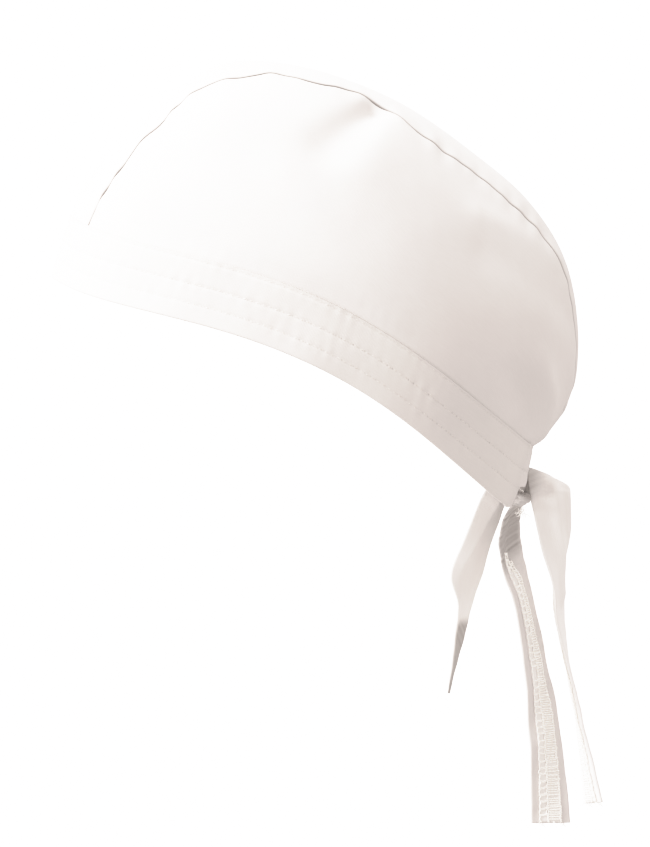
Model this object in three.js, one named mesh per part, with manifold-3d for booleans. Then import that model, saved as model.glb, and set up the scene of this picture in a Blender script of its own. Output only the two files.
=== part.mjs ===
// Bandana-style chef hat of white cotton, in the shape that it has when worn.
//
// Millimetres. World frame: -Y is the front, +X the wearer's left, +Z up. The origin is where the
// top of the head meets the inside of the crown.
// Rim frame: x across, "along" from the front of the rim to its back, "height" square to the rim's
// plane. The rim is worn with its front high, so the rim frame is turned about X.
// "at" runs from 0 at the centre of the front to 1 at the centre of the back.

import * as THREE from 'three';
import { mergeVertices } from 'three/addons/utils/BufferGeometryUtils.js';
import Module from 'manifold-3d';

const wasm = await Module();
wasm.setup();

// ---- Driving dimensions ----

const RIM_LENGTH = 217;
const RIM_HALF_WIDTH = 76;
const RIM_TILT = THREE.MathUtils.degToRad(27);
const RIM_ROUNDNESS = 0.88;
const RIM_EGG = 0.05;
const RIM_BOW = 19;
const RIM_BOW_POWER = 3;
const BAND_TOP_FRONT = -5;
const BAND_TOP_BACK = 213;

const CROWN_WALL = 1.2;
const BAND_WALL = 2.4;
const BAND_PROUD = 0.6;
const TIE_WALL = 1.6;
const TAIL_WALL = 1.4;
const SEAM_GAP = 0.4;
const BAND_GAP = 0.6;
const KNOT_GAP = 0.3;
const BAND_END_AT = 0.9975;

const PANEL_ROWS = 32;
const PANEL_COLUMNS = 13;
const STRIP_ROWS = 42;
const STRIP_COLUMNS = 6;
const BAND_COLUMNS = 72;
const BAND_ROWS = 3;
const RIBBON_ROWS = 36;
const RIBBON_COLUMNS = 2;

// Points this close together are one point, in millimetres.
const MERGE_DISTANCE = 1e-3;
const SOLID_MERGE_DISTANCE = 1e-4;
// Step in "at" or in radians over which a surface's slope is taken.
const SLOPE_STEP = 0.004;
// The band's top edge reaches the strip's edge before this station, counted from either end.
const STRIP_SEARCH_END = 0.3;
const HALVINGS = 50;
// The head touches the crown's centre line between these stations.
const HEAD_CONTACT_FROM = 0.2;
const HEAD_CONTACT_TO = 0.8;
const HEAD_CONTACT_STEP = 0.002;

// The crown's centre line, and how full its cross-section is (under 1 is boxy, over 1 is pointed).
const CENTRE_LINE = [
  { at: 0.00, along: -5.0, height: 26.5, full: 0.95 },
  { at: 0.08, along: -5.0, height: 48.0, full: 0.95 },
  { at: 0.15, along: 1.0, height: 71.0, full: 0.95 },
  { at: 0.22, along: 10.5, height: 94.0, full: 0.95 },
  { at: 0.29, along: 24.0, height: 111.0, full: 0.95 },
  { at: 0.36, along: 42.0, height: 121.5, full: 0.97 },
  { at: 0.45, along: 68.0, height: 129.0, full: 1.00 },
  { at: 0.54, along: 99.0, height: 131.0, full: 1.03 },
  { at: 0.64, along: 135.0, height: 125.5, full: 1.07 },
  { at: 0.74, along: 167.0, height: 117.0, full: 1.08 },
  { at: 0.83, along: 193.0, height: 100.0, full: 1.05 },
  { at: 0.91, along: 213.5, height: 69.0, full: 1.00 },
  { at: 0.96, along: 219.0, height: 47.0, full: 0.95 },
  { at: 1.00, along: 213.0, height: 25.5, full: 0.95 },
];

// Half width of the centre strip.
const STRIP = [
  { at: 0.00, half: 26.0 },
  { at: 0.15, half: 25.0 },
  { at: 0.40, half: 22.0 },
  { at: 0.64, half: 24.0 },
  { at: 0.76, half: 18.5 },
  { at: 0.84, half: 12.0 },
  { at: 0.92, half: 8.5 },
  { at: 1.00, half: 8.0 },
];

// Height of the headband's top edge over the rim's line, the share of that height by which its
// bottom edge is drawn up towards the knot, and how far the knot pushes that edge back.
const BAND = [
  { at: 0.00, top: 26.5, drawn: 0.0, flare: 0 },
  { at: 0.60, top: 26.5, drawn: 0.0, flare: 0 },
  { at: 0.80, top: 28.0, drawn: 0.0, flare: 0 },
  { at: 0.88, top: 27.7, drawn: 0.0, flare: 0 },
  { at: 0.896, top: 27.7, drawn: 0.01, flare: 0.3 },
  { at: 0.906, top: 27.6, drawn: 0.28, flare: 0.9 },
  { at: 0.93, top: 27.3, drawn: 0.33, flare: 1.5 },
  { at: 0.95, top: 27.0, drawn: 0.34, flare: 1.8 },
  { at: 1.00, top: 25.5, drawn: 0.36, flare: 1.8 },
];

// Dents and folds in the rim frame, each along a straight line: negative depth goes inwards.
const FOLDS = [
  { name: 'dent under the seam', from: [27, 83, 125], to: [50, 68, 106], depth: -3.6, width: 7.5 },
  { name: 'dent fading down', from: [51, 67, 104], to: [58, 62, 92], depth: -1.0, width: 10 },
  { name: 'ridge behind the dent', from: [34, 98, 121], to: [60, 82, 98], depth: 2.2, width: 9 },
  { name: 'dent on the far side', from: [-24, 112, 126], to: [-52, 92, 104], depth: -3.0, width: 11 },
  { name: 'gather into the knot, left', from: [12, 214, 28], to: [44, 199, 62], depth: 2.4, width: 7 },
  { name: 'hollow beside it, left', from: [20, 213, 34], to: [56, 188, 52], depth: -2.0, width: 7 },
  { name: 'gather into the knot, right', from: [-12, 214, 28], to: [-40, 202, 58], depth: 2.2, width: 7 },
  { name: 'hollow beside it, right', from: [-20, 213, 33], to: [-54, 190, 50], depth: -1.8, width: 7 },
];

// The knot's two lumps: the tied lump low down, and the wrap between the ends of the band.
const KNOT = [
  { name: 'tied lump', x: 0, along: 219.3, height: 4.6, halfX: 9.0, halfAlong: 5.4, halfHeight: 5.1 },
  { name: 'wrap', x: 0, along: 213.2, height: 15.5, halfX: 5.5, halfAlong: 2.9, halfHeight: 9.6 },
];
const KNOT_SEGMENTS = 20;
const KNOT_BOXINESS = 0.75;
const KNOT_SQUARENESS = 0.5;

// Ribbons in world directions from the middle of the tied lump. Turn is about the vertical, from a
// flat side that faces the wearer's left; lean lifts the back edge over the front edge.
const TIE_LEFT = [
  { at: 0.00, side: 1.5, back: -1.3, up: -1.5, half: 3.6, turn: -50, lean: 0 },
  { at: 0.08, side: 3.5, back: -4.5, up: -10.5, half: 7.0, turn: -50, lean: 0 },
  { at: 0.16, side: 5.0, back: -5.1, up: -20.6, half: 8.6, turn: -50, lean: 0 },
  { at: 0.32, side: 6.0, back: 0.8, up: -44.0, half: 8.6, turn: -55, lean: 0 },
  { at: 0.48, side: 6.5, back: 5.2, up: -67.2, half: 8.6, turn: -50, lean: 0 },
  { at: 0.64, side: 7.0, back: 8.4, up: -89.0, half: 8.6, turn: -38, lean: 0 },
  { at: 0.82, side: 7.0, back: 10.9, up: -114.0, half: 8.6, turn: -24, lean: 0 },
  { at: 1.00, side: 7.0, back: 12.3, up: -138.0, half: 8.6, turn: -7, lean: -1 },
];

const TIE_RIGHT = [
  { at: 0.00, side: -2.5, back: 2.8, up: 0.6, half: 3.4, turn: 0, lean: -48 },
  { at: 0.06, side: -4.5, back: 7.4, up: 4.4, half: 6.8, turn: 0, lean: -42 },
  { at: 0.10, side: -3.2, back: 10.8, up: 7.4, half: 9.2, turn: 0, lean: -29 },
  { at: 0.14, side: 0.0, back: 11.9, up: 7.6, half: 10.0, turn: 0, lean: -23 },
  { at: 0.19, side: 2.0, back: 12.3, up: 2.0, half: 9.2, turn: 4, lean: -12 },
  { at: 0.26, side: 1.5, back: 13.4, up: -7.0, half: 8.6, turn: -14, lean: -2 },
  { at: 0.40, side: 0.0, back: 15.4, up: -28.0, half: 8.6, turn: -56, lean: 0 },
  { at: 0.60, side: -2.0, back: 18.4, up: -59.0, half: 8.6, turn: -78, lean: 0 },
  { at: 0.80, side: -4.0, back: 25.4, up: -93.0, half: 8.6, turn: -91, lean: 0 },
  { at: 1.00, side: -6.0, back: 32.2, up: -131.5, half: 8.6, turn: -109, lean: -9 },
];

const BACK_TAIL = [
  { at: 0.00, side: 0.0, back: -1.8, up: 16.5, half: 7.4, turn: 92, lean: 0 },
  { at: 0.12, side: 0.5, back: -7.2, up: 9.0, half: 7.4, turn: 114, lean: 2 },
  { at: 0.25, side: 1.0, back: -11.2, up: 0.0, half: 7.2, turn: 138, lean: 20 },
  { at: 0.45, side: 1.5, back: -18.3, up: -18.0, half: 8.5, turn: 146, lean: 12 },
  { at: 0.60, side: 1.5, back: -23.0, up: -32.5, half: 8.7, turn: 156, lean: 0 },
  { at: 0.72, side: 1.5, back: -23.7, up: -46.0, half: 4.8, turn: 134, lean: 0 },
  { at: 0.84, side: 1.0, back: -26.7, up: -62.0, half: 3.2, turn: 134, lean: 0 },
  { at: 1.00, side: 0.5, back: -30.5, up: -83.0, half: 0.7, turn: 132, lean: 0 },
];

const CLOTH = { color: 0xf4f1ee, roughness: 0.9, metalness: 0 };
const BAND_CLOTH = { color: 0xe9e5e1, roughness: 0.9, metalness: 0 };

// ---- Tables and small helpers ----

// One column of a table at a station, on a smooth curve through its rows.
function valueAt(rows, column, at) {
  const last = rows.length - 1;
  const slope = (index) => {
    const before = rows[Math.max(index - 1, 0)];
    const after = rows[Math.min(index + 1, last)];
    return (after[column] - before[column]) / (after.at - before.at);
  };
  let index = 0;
  while (index < last - 1 && at > rows[index + 1].at) {
    index += 1;
  }
  const start = rows[index];
  const end = rows[index + 1];
  const span = end.at - start.at;
  const u = THREE.MathUtils.clamp((at - start.at) / span, 0, 1);
  const rise = u * u * (3 - 2 * u);
  const leave = u * (1 - u) * (1 - u) * span * slope(index);
  const arrive = u * u * (1 - u) * span * slope(index + 1);
  return start[column] + rise * (end[column] - start[column]) + leave - arrive;
}

// The input between low and high at which a rising function reaches a goal.
function solveRising(rising, goal, low, high) {
  for (let halving = 0; halving < HALVINGS; halving += 1) {
    const middle = (low + high) / 2;
    if (rising(middle) < goal) {
      low = middle;
    } else {
      high = middle;
    }
  }
  return (low + high) / 2;
}

// A geometry from points and triangles, with shared points merged and empty triangles dropped.
function geometryFrom(points, triangles) {
  const loose = new THREE.BufferGeometry();
  loose.setAttribute('position', new THREE.Float32BufferAttribute(points.flatMap((p) => p.toArray()), 3));
  loose.setIndex(triangles.flat());
  const merged = mergeVertices(loose, MERGE_DISTANCE);
  const corners = merged.getIndex().array;
  const kept = [];
  for (let i = 0; i < corners.length; i += 3) {
    const [a, b, c] = [corners[i], corners[i + 1], corners[i + 2]];
    if (a !== b && b !== c && c !== a) {
      kept.push(a, b, c);
    }
  }
  merged.setIndex(kept);
  merged.computeVertexNormals();
  return merged;
}

// A closed wall between two grids of points that have the same rows and columns. Seen from
// outside, columns run to the right as rows run up.
function wallBetween(outer, inner) {
  const rows = outer.length;
  const columns = outer[0].length;
  const layer = rows * columns;
  const points = [...outer.flat(), ...inner.flat()];
  const spot = (row, column) => row * columns + column;
  const triangles = [];
  const quad = (a, b, c, d) => triangles.push([a, b, c], [a, c, d]);
  for (let row = 0; row < rows - 1; row += 1) {
    for (let column = 0; column < columns - 1; column += 1) {
      const a = spot(row, column);
      const b = spot(row, column + 1);
      const c = spot(row + 1, column + 1);
      const d = spot(row + 1, column);
      quad(a, b, c, d);
      quad(layer + a, layer + d, layer + c, layer + b);
    }
  }
  const edge = [];
  for (let column = 0; column < columns - 1; column += 1) {
    edge.push(spot(0, column));
  }
  for (let row = 0; row < rows - 1; row += 1) {
    edge.push(spot(row, columns - 1));
  }
  for (let column = columns - 1; column > 0; column -= 1) {
    edge.push(spot(rows - 1, column));
  }
  for (let row = rows - 1; row > 0; row -= 1) {
    edge.push(spot(row, 0));
  }
  edge.forEach((here, i) => {
    const next = edge[(i + 1) % edge.length];
    quad(here, layer + here, layer + next, next);
  });
  return geometryFrom(points, triangles);
}

function solidFrom(geometry) {
  const bare = geometry.clone();
  bare.deleteAttribute('normal');
  bare.deleteAttribute('uv');
  const merged = mergeVertices(bare, SOLID_MERGE_DISTANCE);
  return new wasm.Manifold(new wasm.Mesh({
    numProp: 3,
    vertProperties: new Float32Array(merged.getAttribute('position').array),
    triVerts: new Uint32Array(merged.getIndex().array),
  }));
}

function geometryOf(solid) {
  const mesh = solid.getMesh();
  const geometry = new THREE.BufferGeometry();
  geometry.setAttribute('position', new THREE.Float32BufferAttribute(mesh.vertProperties, 3));
  geometry.setIndex(new THREE.Uint32BufferAttribute(mesh.triVerts, 1));
  geometry.computeVertexNormals();
  return geometry;
}

function piece(name, geometry, finish) {
  const mesh = new THREE.Mesh(geometry, new THREE.MeshStandardMaterial(finish));
  mesh.name = name;
  return mesh;
}

// ---- The crown's surface, in the rim frame ----

function rimPoint(at) {
  const angle = Math.PI * at;
  const sine = Math.max(Math.sin(angle), 0);
  return new THREE.Vector3(
    RIM_HALF_WIDTH * sine ** RIM_ROUNDNESS * (1 - RIM_EGG * Math.cos(angle)),
    (RIM_LENGTH / 2) * (1 - Math.cos(angle)),
    RIM_BOW * sine ** RIM_BOW_POWER,
  );
}

function bandTopPoint(at) {
  const point = rimPoint(at);
  const share = (1 - Math.cos(Math.PI * at)) / 2;
  point.y = BAND_TOP_FRONT + (BAND_TOP_BACK - BAND_TOP_FRONT) * share;
  point.z += valueAt(BAND, 'top', at);
  return point;
}

// A point on the arch that rises from the band's top edge (angle 0) to the centre line (90 degrees).
function archPoint(at, angle) {
  const foot = bandTopPoint(at);
  const full = valueAt(CENTRE_LINE, 'full', at);
  const rise = Math.max(Math.sin(angle), 0) ** full;
  const reach = Math.max(Math.cos(angle), 0) ** full;
  return new THREE.Vector3(
    foot.x * reach,
    foot.y + (valueAt(CENTRE_LINE, 'along', at) - foot.y) * rise,
    foot.z + (valueAt(CENTRE_LINE, 'height', at) - foot.z) * rise,
  );
}

// The arch's angle at a distance x from the centre line.
function archAngle(at, x) {
  const full = valueAt(CENTRE_LINE, 'full', at);
  const foot = Math.max(bandTopPoint(at).x, Number.EPSILON);
  return Math.acos(Math.min(x / foot, 1) ** (1 / full));
}

function archNormal(at, angle) {
  const step = SLOPE_STEP;
  const t = THREE.MathUtils.clamp(at, 3 * step, 1 - 3 * step);
  const up = archPoint(t, Math.min(angle + step, Math.PI / 2));
  up.sub(archPoint(t, Math.max(angle - step, 0)));
  const back = archPoint(t + step, angle).sub(archPoint(t - step, angle));
  return back.cross(up).normalize();
}

// How far the folds lift or sink the cloth at a point.
function foldHeight(point) {
  let height = 0;
  for (const fold of FOLDS) {
    const line = new THREE.Line3(new THREE.Vector3(...fold.from), new THREE.Vector3(...fold.to));
    const nearest = line.closestPointToPoint(point, true, new THREE.Vector3());
    height += fold.depth * Math.exp(-((point.distanceTo(nearest) / fold.width) ** 2));
  }
  return height;
}

// The cloth's outer and inner points on one side of the hat (side is 1 for left, -1 for right).
function clothPoints(at, angle, side) {
  const outer = archPoint(at, angle);
  const normal = archNormal(at, angle);
  outer.x *= side;
  normal.x *= side;
  outer.addScaledVector(normal, foldHeight(outer));
  return { outer, inner: outer.clone().addScaledVector(normal, -CROWN_WALL) };
}

function stripHalf(at) {
  return valueAt(STRIP, 'half', at);
}

// First and last stations at which the band's top edge lies a share of the strip's half width,
// plus a margin, from the centre line.
function stationsAcross(share, margin) {
  const reach = (at) => bandTopPoint(at).x - share * stripHalf(at) - margin;
  if (share === 0 && margin === 0) {
    return [0, 1];
  }
  const first = solveRising(reach, 0, 0, STRIP_SEARCH_END);
  const last = 1 - solveRising((back) => reach(1 - back), 0, 0, STRIP_SEARCH_END);
  return [first, last];
}

// ---- The pieces of the crown ----

function crownPanel(side) {
  const margin = SEAM_GAP / 2;
  const [first, last] = stationsAcross(1, margin);
  const outer = [];
  const inner = [];
  for (let column = PANEL_COLUMNS; column >= 0; column -= 1) {
    const outerRow = [];
    const innerRow = [];
    for (let row = 0; row <= PANEL_ROWS; row += 1) {
      const at = THREE.MathUtils.lerp(first, last, row / PANEL_ROWS);
      const angle = archAngle(at, stripHalf(at) + margin) * (1 - column / PANEL_COLUMNS);
      const cloth = clothPoints(at, angle, side);
      outerRow.push(cloth.outer);
      innerRow.push(cloth.inner);
    }
    outer.push(side > 0 ? outerRow : outerRow.reverse());
    inner.push(side > 0 ? innerRow : innerRow.reverse());
  }
  return wallBetween(outer, inner);
}

function crownStrip() {
  const outer = [];
  const inner = [];
  const half = STRIP_COLUMNS / 2;
  for (let column = -half; column <= half; column += 1) {
    const share = Math.abs(column) / half;
    const side = column < 0 ? -1 : 1;
    const [first, last] = stationsAcross(share, share === 0 ? 0 : -share * (SEAM_GAP / 2));
    const outerRow = [];
    const innerRow = [];
    for (let row = 0; row <= STRIP_ROWS; row += 1) {
      const at = THREE.MathUtils.lerp(first, last, row / STRIP_ROWS);
      const x = share * (stripHalf(at) - SEAM_GAP / 2);
      const cloth = clothPoints(at, archAngle(at, x), side);
      outerRow.push(cloth.outer);
      innerRow.push(cloth.inner);
    }
    outer.push(outerRow);
    inner.push(innerRow);
  }
  return wallBetween(outer.reverse(), inner.reverse());
}

// ---- The headband ----

// Points up the band from its bottom edge to its top edge, on the crown's line.
function bandPoint(at, share) {
  const top = bandTopPoint(at);
  const bottom = rimPoint(at).lerp(top, valueAt(BAND, 'drawn', at));
  bottom.y += valueAt(BAND, 'flare', at);
  const upwards = top.clone().sub(bottom).normalize();
  top.addScaledVector(upwards, -BAND_GAP);
  return bottom.lerp(top, share);
}

function bandNormal(at, share) {
  const step = SLOPE_STEP;
  const t = THREE.MathUtils.clamp(at, step, BAND_END_AT - step);
  const forth = bandPoint(t + step, share).sub(bandPoint(t - step, share));
  const normal = forth.cross(bandPoint(t, 1).sub(bandPoint(t, 0))).normalize();
  return at < step ? new THREE.Vector3(0, normal.y, normal.z).normalize() : normal;
}

function headband() {
  const outer = [];
  const inner = [];
  for (let row = 0; row <= BAND_ROWS; row += 1) {
    const outerRow = [];
    const innerRow = [];
    for (let column = 0; column <= BAND_COLUMNS; column += 1) {
      const place = -1 + (2 * column) / BAND_COLUMNS;
      const side = place < 0 ? -1 : 1;
      const at = Math.abs(place) * BAND_END_AT;
      const point = bandPoint(at, row / BAND_ROWS);
      const normal = bandNormal(at, row / BAND_ROWS);
      point.x *= side;
      normal.x *= side;
      outerRow.push(point.clone().addScaledVector(normal, BAND_PROUD));
      innerRow.push(point.clone().addScaledVector(normal, BAND_PROUD - BAND_WALL));
    }
    outer.push(outerRow);
    inner.push(innerRow);
  }
  return wallBetween(outer, inner);
}

// ---- The knot ----

// A sphere drawn out to three half sizes, with slightly squared sides.
function lump(row, margin) {
  const geometry = new THREE.SphereGeometry(1, KNOT_SEGMENTS, KNOT_SEGMENTS / 2);
  const position = geometry.getAttribute('position');
  const square = (value) => Math.sign(value) * Math.abs(value) ** KNOT_BOXINESS;
  for (let i = 0; i < position.count; i += 1) {
    const p = new THREE.Vector3().fromBufferAttribute(position, i);
    const round = new THREE.Vector3(square(p.x), square(p.y), square(p.z));
    p.lerp(round, KNOT_SQUARENESS);
    position.setXYZ(
      i,
      row.x + p.x * (row.halfX + margin),
      row.along + p.y * (row.halfAlong + margin),
      row.height + p.z * (row.halfHeight + margin),
    );
  }
  return solidFrom(geometry);
}

function knotSolid(margin) {
  return KNOT.map((row) => lump(row, margin)).reduce((whole, next) => whole.add(next));
}

// ---- Ties and tail ----

// A ribbon from a table of its sections, in world directions from a start point.
function ribbon(rows, wall, start) {
  const centre = (at) => new THREE.Vector3(
    valueAt(rows, 'side', at),
    valueAt(rows, 'back', at),
    valueAt(rows, 'up', at),
  ).add(start);
  const across = (at) => {
    const turn = THREE.MathUtils.degToRad(valueAt(rows, 'turn', at));
    const lean = THREE.MathUtils.degToRad(valueAt(rows, 'lean', at));
    return new THREE.Vector3(
      Math.sin(turn) * Math.cos(lean),
      Math.cos(turn) * Math.cos(lean),
      Math.sin(lean),
    );
  };
  const outer = [];
  const inner = [];
  const step = SLOPE_STEP;
  for (let row = RIBBON_ROWS; row >= 0; row -= 1) {
    const at = row / RIBBON_ROWS;
    const onwards = centre(Math.min(at + step, 1)).sub(centre(Math.max(at - step, 0)));
    const width = across(at);
    const normal = onwards.cross(width).normalize();
    const outerRow = [];
    const innerRow = [];
    for (let column = 0; column <= RIBBON_COLUMNS; column += 1) {
      const share = -1 + (2 * column) / RIBBON_COLUMNS;
      const point = centre(at).addScaledVector(width, share * valueAt(rows, 'half', at));
      outerRow.push(point.clone().addScaledVector(normal, wall / 2));
      innerRow.push(point.clone().addScaledVector(normal, -wall / 2));
    }
    outer.push(outerRow);
    inner.push(innerRow);
  }
  return wallBetween(outer, inner);
}

// ---- Frame: from the rim frame to the world ----

// The highest point of the crown's inner face on the centre line, before the origin is moved there.
function headContact(turn) {
  let highest = new THREE.Vector3(0, 0, -Infinity);
  for (let at = HEAD_CONTACT_FROM; at < HEAD_CONTACT_TO; at += HEAD_CONTACT_STEP) {
    const point = clothPoints(at, Math.PI / 2, 1).inner.applyEuler(turn);
    if (point.z > highest.z) {
      highest = point;
    }
  }
  return highest;
}

const turn = new THREE.Euler(-RIM_TILT, 0, 0);
const shift = headContact(turn).negate();
const toWorld = new THREE.Matrix4().makeRotationFromEuler(turn).setPosition(shift);
const toRim = toWorld.clone().invert();

// What is left of a geometry in the rim frame once the knot and the gap around it are taken out.
function clearOfKnot(geometry) {
  return geometryOf(solidFrom(geometry).subtract(knotSolid(KNOT_GAP)));
}

function ribbonClearOfKnot(rows, wall) {
  const start = new THREE.Vector3(KNOT[0].x, KNOT[0].along, KNOT[0].height).applyMatrix4(toWorld);
  return clearOfKnot(ribbon(rows, wall, start).applyMatrix4(toRim));
}

const hat = new THREE.Group();
hat.rotation.copy(turn);
hat.position.copy(shift);
hat.add(
  piece('crown_left', crownPanel(1), CLOTH),
  piece('crown_right', crownPanel(-1), CLOTH),
  piece('crown_strip', clearOfKnot(crownStrip()), CLOTH),
  piece('headband', clearOfKnot(headband()), BAND_CLOTH),
  piece('knot', geometryOf(knotSolid(0)), BAND_CLOTH),
  piece('tie_left', ribbonClearOfKnot(TIE_LEFT, TIE_WALL), BAND_CLOTH),
  piece('tie_right', ribbonClearOfKnot(TIE_RIGHT, TIE_WALL), BAND_CLOTH),
  piece('back_tail', ribbonClearOfKnot(BACK_TAIL, TAIL_WALL), CLOTH),
);

const group = new THREE.Group();
group.add(hat);

export default group;
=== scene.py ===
"""Looks of a bandana-style chef hat of bleached cotton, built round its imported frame.

The hat has the shape that it has when it is worn. Sizes are in millimetres until a mesh is made,
and Blender's metres from there on.

Rim frame: x across, "along" from the front of the rim to its back, "height" square to the rim's
plane. The rim is worn with its front high, so this frame is turned about X.
"at" runs from 0 at the centre of the front to 1 at the centre of the back.
"""

import logging
import math
from dataclasses import dataclass, field
from enum import Enum
from functools import cached_property
from typing import Callable, NamedTuple, Sequence

import bmesh
import bpy
import numpy as np
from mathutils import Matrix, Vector


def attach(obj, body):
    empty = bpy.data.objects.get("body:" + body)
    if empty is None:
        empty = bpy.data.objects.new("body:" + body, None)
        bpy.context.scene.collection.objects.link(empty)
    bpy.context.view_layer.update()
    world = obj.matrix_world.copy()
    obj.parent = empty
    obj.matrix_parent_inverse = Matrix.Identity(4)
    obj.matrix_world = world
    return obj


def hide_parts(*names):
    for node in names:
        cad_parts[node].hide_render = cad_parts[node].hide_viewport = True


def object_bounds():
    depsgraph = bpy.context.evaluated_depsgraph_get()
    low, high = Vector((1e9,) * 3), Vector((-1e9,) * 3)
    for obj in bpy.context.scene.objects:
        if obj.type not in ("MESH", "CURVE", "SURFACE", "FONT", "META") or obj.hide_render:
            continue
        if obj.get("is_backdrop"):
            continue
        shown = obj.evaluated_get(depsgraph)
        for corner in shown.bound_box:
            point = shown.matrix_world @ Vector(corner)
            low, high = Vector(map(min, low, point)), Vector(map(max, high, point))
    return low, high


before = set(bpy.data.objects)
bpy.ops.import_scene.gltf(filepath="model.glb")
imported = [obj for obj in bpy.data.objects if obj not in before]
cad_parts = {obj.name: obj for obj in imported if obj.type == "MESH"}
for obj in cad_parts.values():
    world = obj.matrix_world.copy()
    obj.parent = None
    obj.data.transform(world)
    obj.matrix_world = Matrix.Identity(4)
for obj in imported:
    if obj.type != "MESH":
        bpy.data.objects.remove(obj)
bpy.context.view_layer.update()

Array = np.ndarray
Piece = bpy.types.Object
Material = bpy.types.Material
Tree = bpy.types.NodeTree
Socket = bpy.types.NodeSocket
Node = bpy.types.Node
ThreadLines = list[Array]
Dice = np.random.Generator
Solid = tuple[Array, list[tuple[int, ...]]]

LOG = logging.getLogger("chef_hat")
MM = 0.001
BAND_END = 0.9975  # station at which the band ends beside the knot
BAND_HEIGHT = 27.5
TIE_HALF = 8.6  # half the width of a tie
STEP = 0.004  # stations between points that give a slope
WAVE_PEAK = 1.6  # about the highest peak of a sum of waves, over its usual height

# ---- Tables of sizes that change along the hat ----


def table(kind: type, *rows: tuple[float, ...]) -> tuple:
    """Rows of numbers, with the named columns of their kind."""
    return tuple(kind(*row) for row in rows)


class CentreRow(NamedTuple):
    """The crown's centre line, and how full its cross-section is (under 1 is boxy)."""

    at: float
    along: float
    height: float
    full: float


class StripRow(NamedTuple):
    """Distances of the two long seams from the centre line."""

    at: float
    left: float
    right: float


class BandRow(NamedTuple):
    """The band's height, and how far the knot draws its bottom edge up (a share) and back."""

    at: float
    top: float
    drawn: float
    flare: float


class RibbonRow(NamedTuple):
    """One section of a tie or tail, in world directions from the middle of the knot."""

    at: float
    side: float
    back: float
    up: float
    half: float
    turn: float
    lean: float


class Fold(NamedTuple):
    """A dent (negative depth) or fold along a line in the rim frame, with its depth and width.

    They change evenly to end_depth and end_width where those are given.
    """

    start: tuple[float, float, float]
    end: tuple[float, float, float]
    depth: float
    width: float
    end_depth: float | None = None
    end_width: float | None = None


class Lump(NamedTuple):
    """One rounded body of the knot, in the rim frame."""

    centre: tuple[float, float, float]
    half: tuple[float, float, float]


CENTRE_LINE = table(
    CentreRow,
    (0, -5, 26.5, 0.95), (0.08, -5, 48, 0.95), (0.15, 1, 71, 0.95), (0.22, 10.5, 94, 0.95),
    (0.29, 24, 111, 0.95), (0.36, 42, 121.5, 0.97), (0.45, 68, 129, 1), (0.54, 99, 131, 1.03),
    (0.64, 135, 125.5, 1.07), (0.74, 167, 117, 1.08), (0.83, 193, 100, 1.05), (0.91, 213.5, 69, 1),
    (0.96, 219, 47, 0.95), (1, 213, 25.5, 0.95),
)

STRIP = table(
    StripRow,
    (0, 26, 26), (0.1, 25.5, 25.4), (0.125, 26.2, 25.2), (0.15, 26.2, 24.8), (0.175, 24.2, 25),
    (0.198, 26.2, 24.6), (0.222, 21.4, 23.9), (0.25, 19.4, 22.8), (0.275, 18.4, 22.4),
    (0.3, 20.6, 22.5), (0.325, 20.6, 23.2), (0.35, 18.7, 23.6), (0.375, 19.9, 23.1),
    (0.4, 22.3, 22.4), (0.425, 22.9, 22), (0.45, 21.2, 21.8), (0.475, 19.6, 21.7),
    (0.5, 20.8, 22.4), (0.525, 23.8, 23.4), (0.555, 27.4, 24), (0.6, 26.4, 23.9),
    (0.65, 22.7, 22.6), (0.7, 21.3, 21.6), (0.76, 18, 18.9), (0.8, 16.5, 15.6), (0.84, 12.8, 12.6),
    (0.92, 8.6, 8.7), (1, 8, 8),
)

BAND = table(
    BandRow,
    (0, 26.5, 0, 0), (0.6, 26.5, 0, 0), (0.8, 28, 0, 0), (0.88, 27.7, 0, 0),
    (0.896, 27.7, 0.01, 0.3), (0.906, 27.6, 0.3, 0.9), (0.93, 27.3, 0.37, 1.5),
    (0.95, 27, 0.38, 1.8), (1, 25.5, 0.41, 1.8),
)

FOLDS = (
    # the dent under the seam and the ridge behind it, and the dent on the far side
    Fold((26.5, 86.0, 125.4), (53.0, 72.0, 103.5), -4.9, 4.8, -3.0, 10.0),
    Fold((32, 97, 121), (56, 84, 100), 0.8, 13),
    Fold((-24, 112, 126), (-52, 92, 104), -3.0, 11),
    # a gather into the knot and the hollow beside it, on the left and on the right
    Fold((12, 214, 28), (44, 199, 62), 2.4, 7),
    Fold((20, 213, 34), (56, 188, 52), -2.0, 7),
    Fold((-12, 214, 28), (-40, 202, 58), 2.2, 7),
    Fold((-20, 213, 33), (-54, 190, 50), -1.8, 7),
    # slack under the back seam and the hollow under it, and slack on the far side
    Fold((41, 143, 105), (14, 186, 100), 1.0, 7),
    Fold((50, 152, 92), (20, 200, 84), -0.8, 8),
    Fold((-38, 150, 104), (-16, 188, 96), 0.9, 8),
    # a soft drag over each ear
    Fold((71, 120, 44), (62, 60, 84), 0.7, 12),
    Fold((-71, 110, 44), (-60, 150, 84), 0.8, 12),
)

TIE_LEFT = table(
    RibbonRow,
    (0, 1.5, -1.3, -1.5, 3.6, -50, 0), (0.08, 3.5, -4.5, -10.5, 7, -50, 0),
    (0.16, 5, -5.1, -20.6, 8.6, -50, 0), (0.32, 6, 0.8, -44, 8.6, -55, 0),
    (0.48, 6.5, 5.2, -67.2, 8.6, -50, 0), (0.64, 7, 8.4, -89, 8.6, -38, 0),
    (0.82, 7, 10.9, -114, 8.6, -24, 0), (1, 7, 12.3, -138, 8.6, -7, -1),
)

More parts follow.
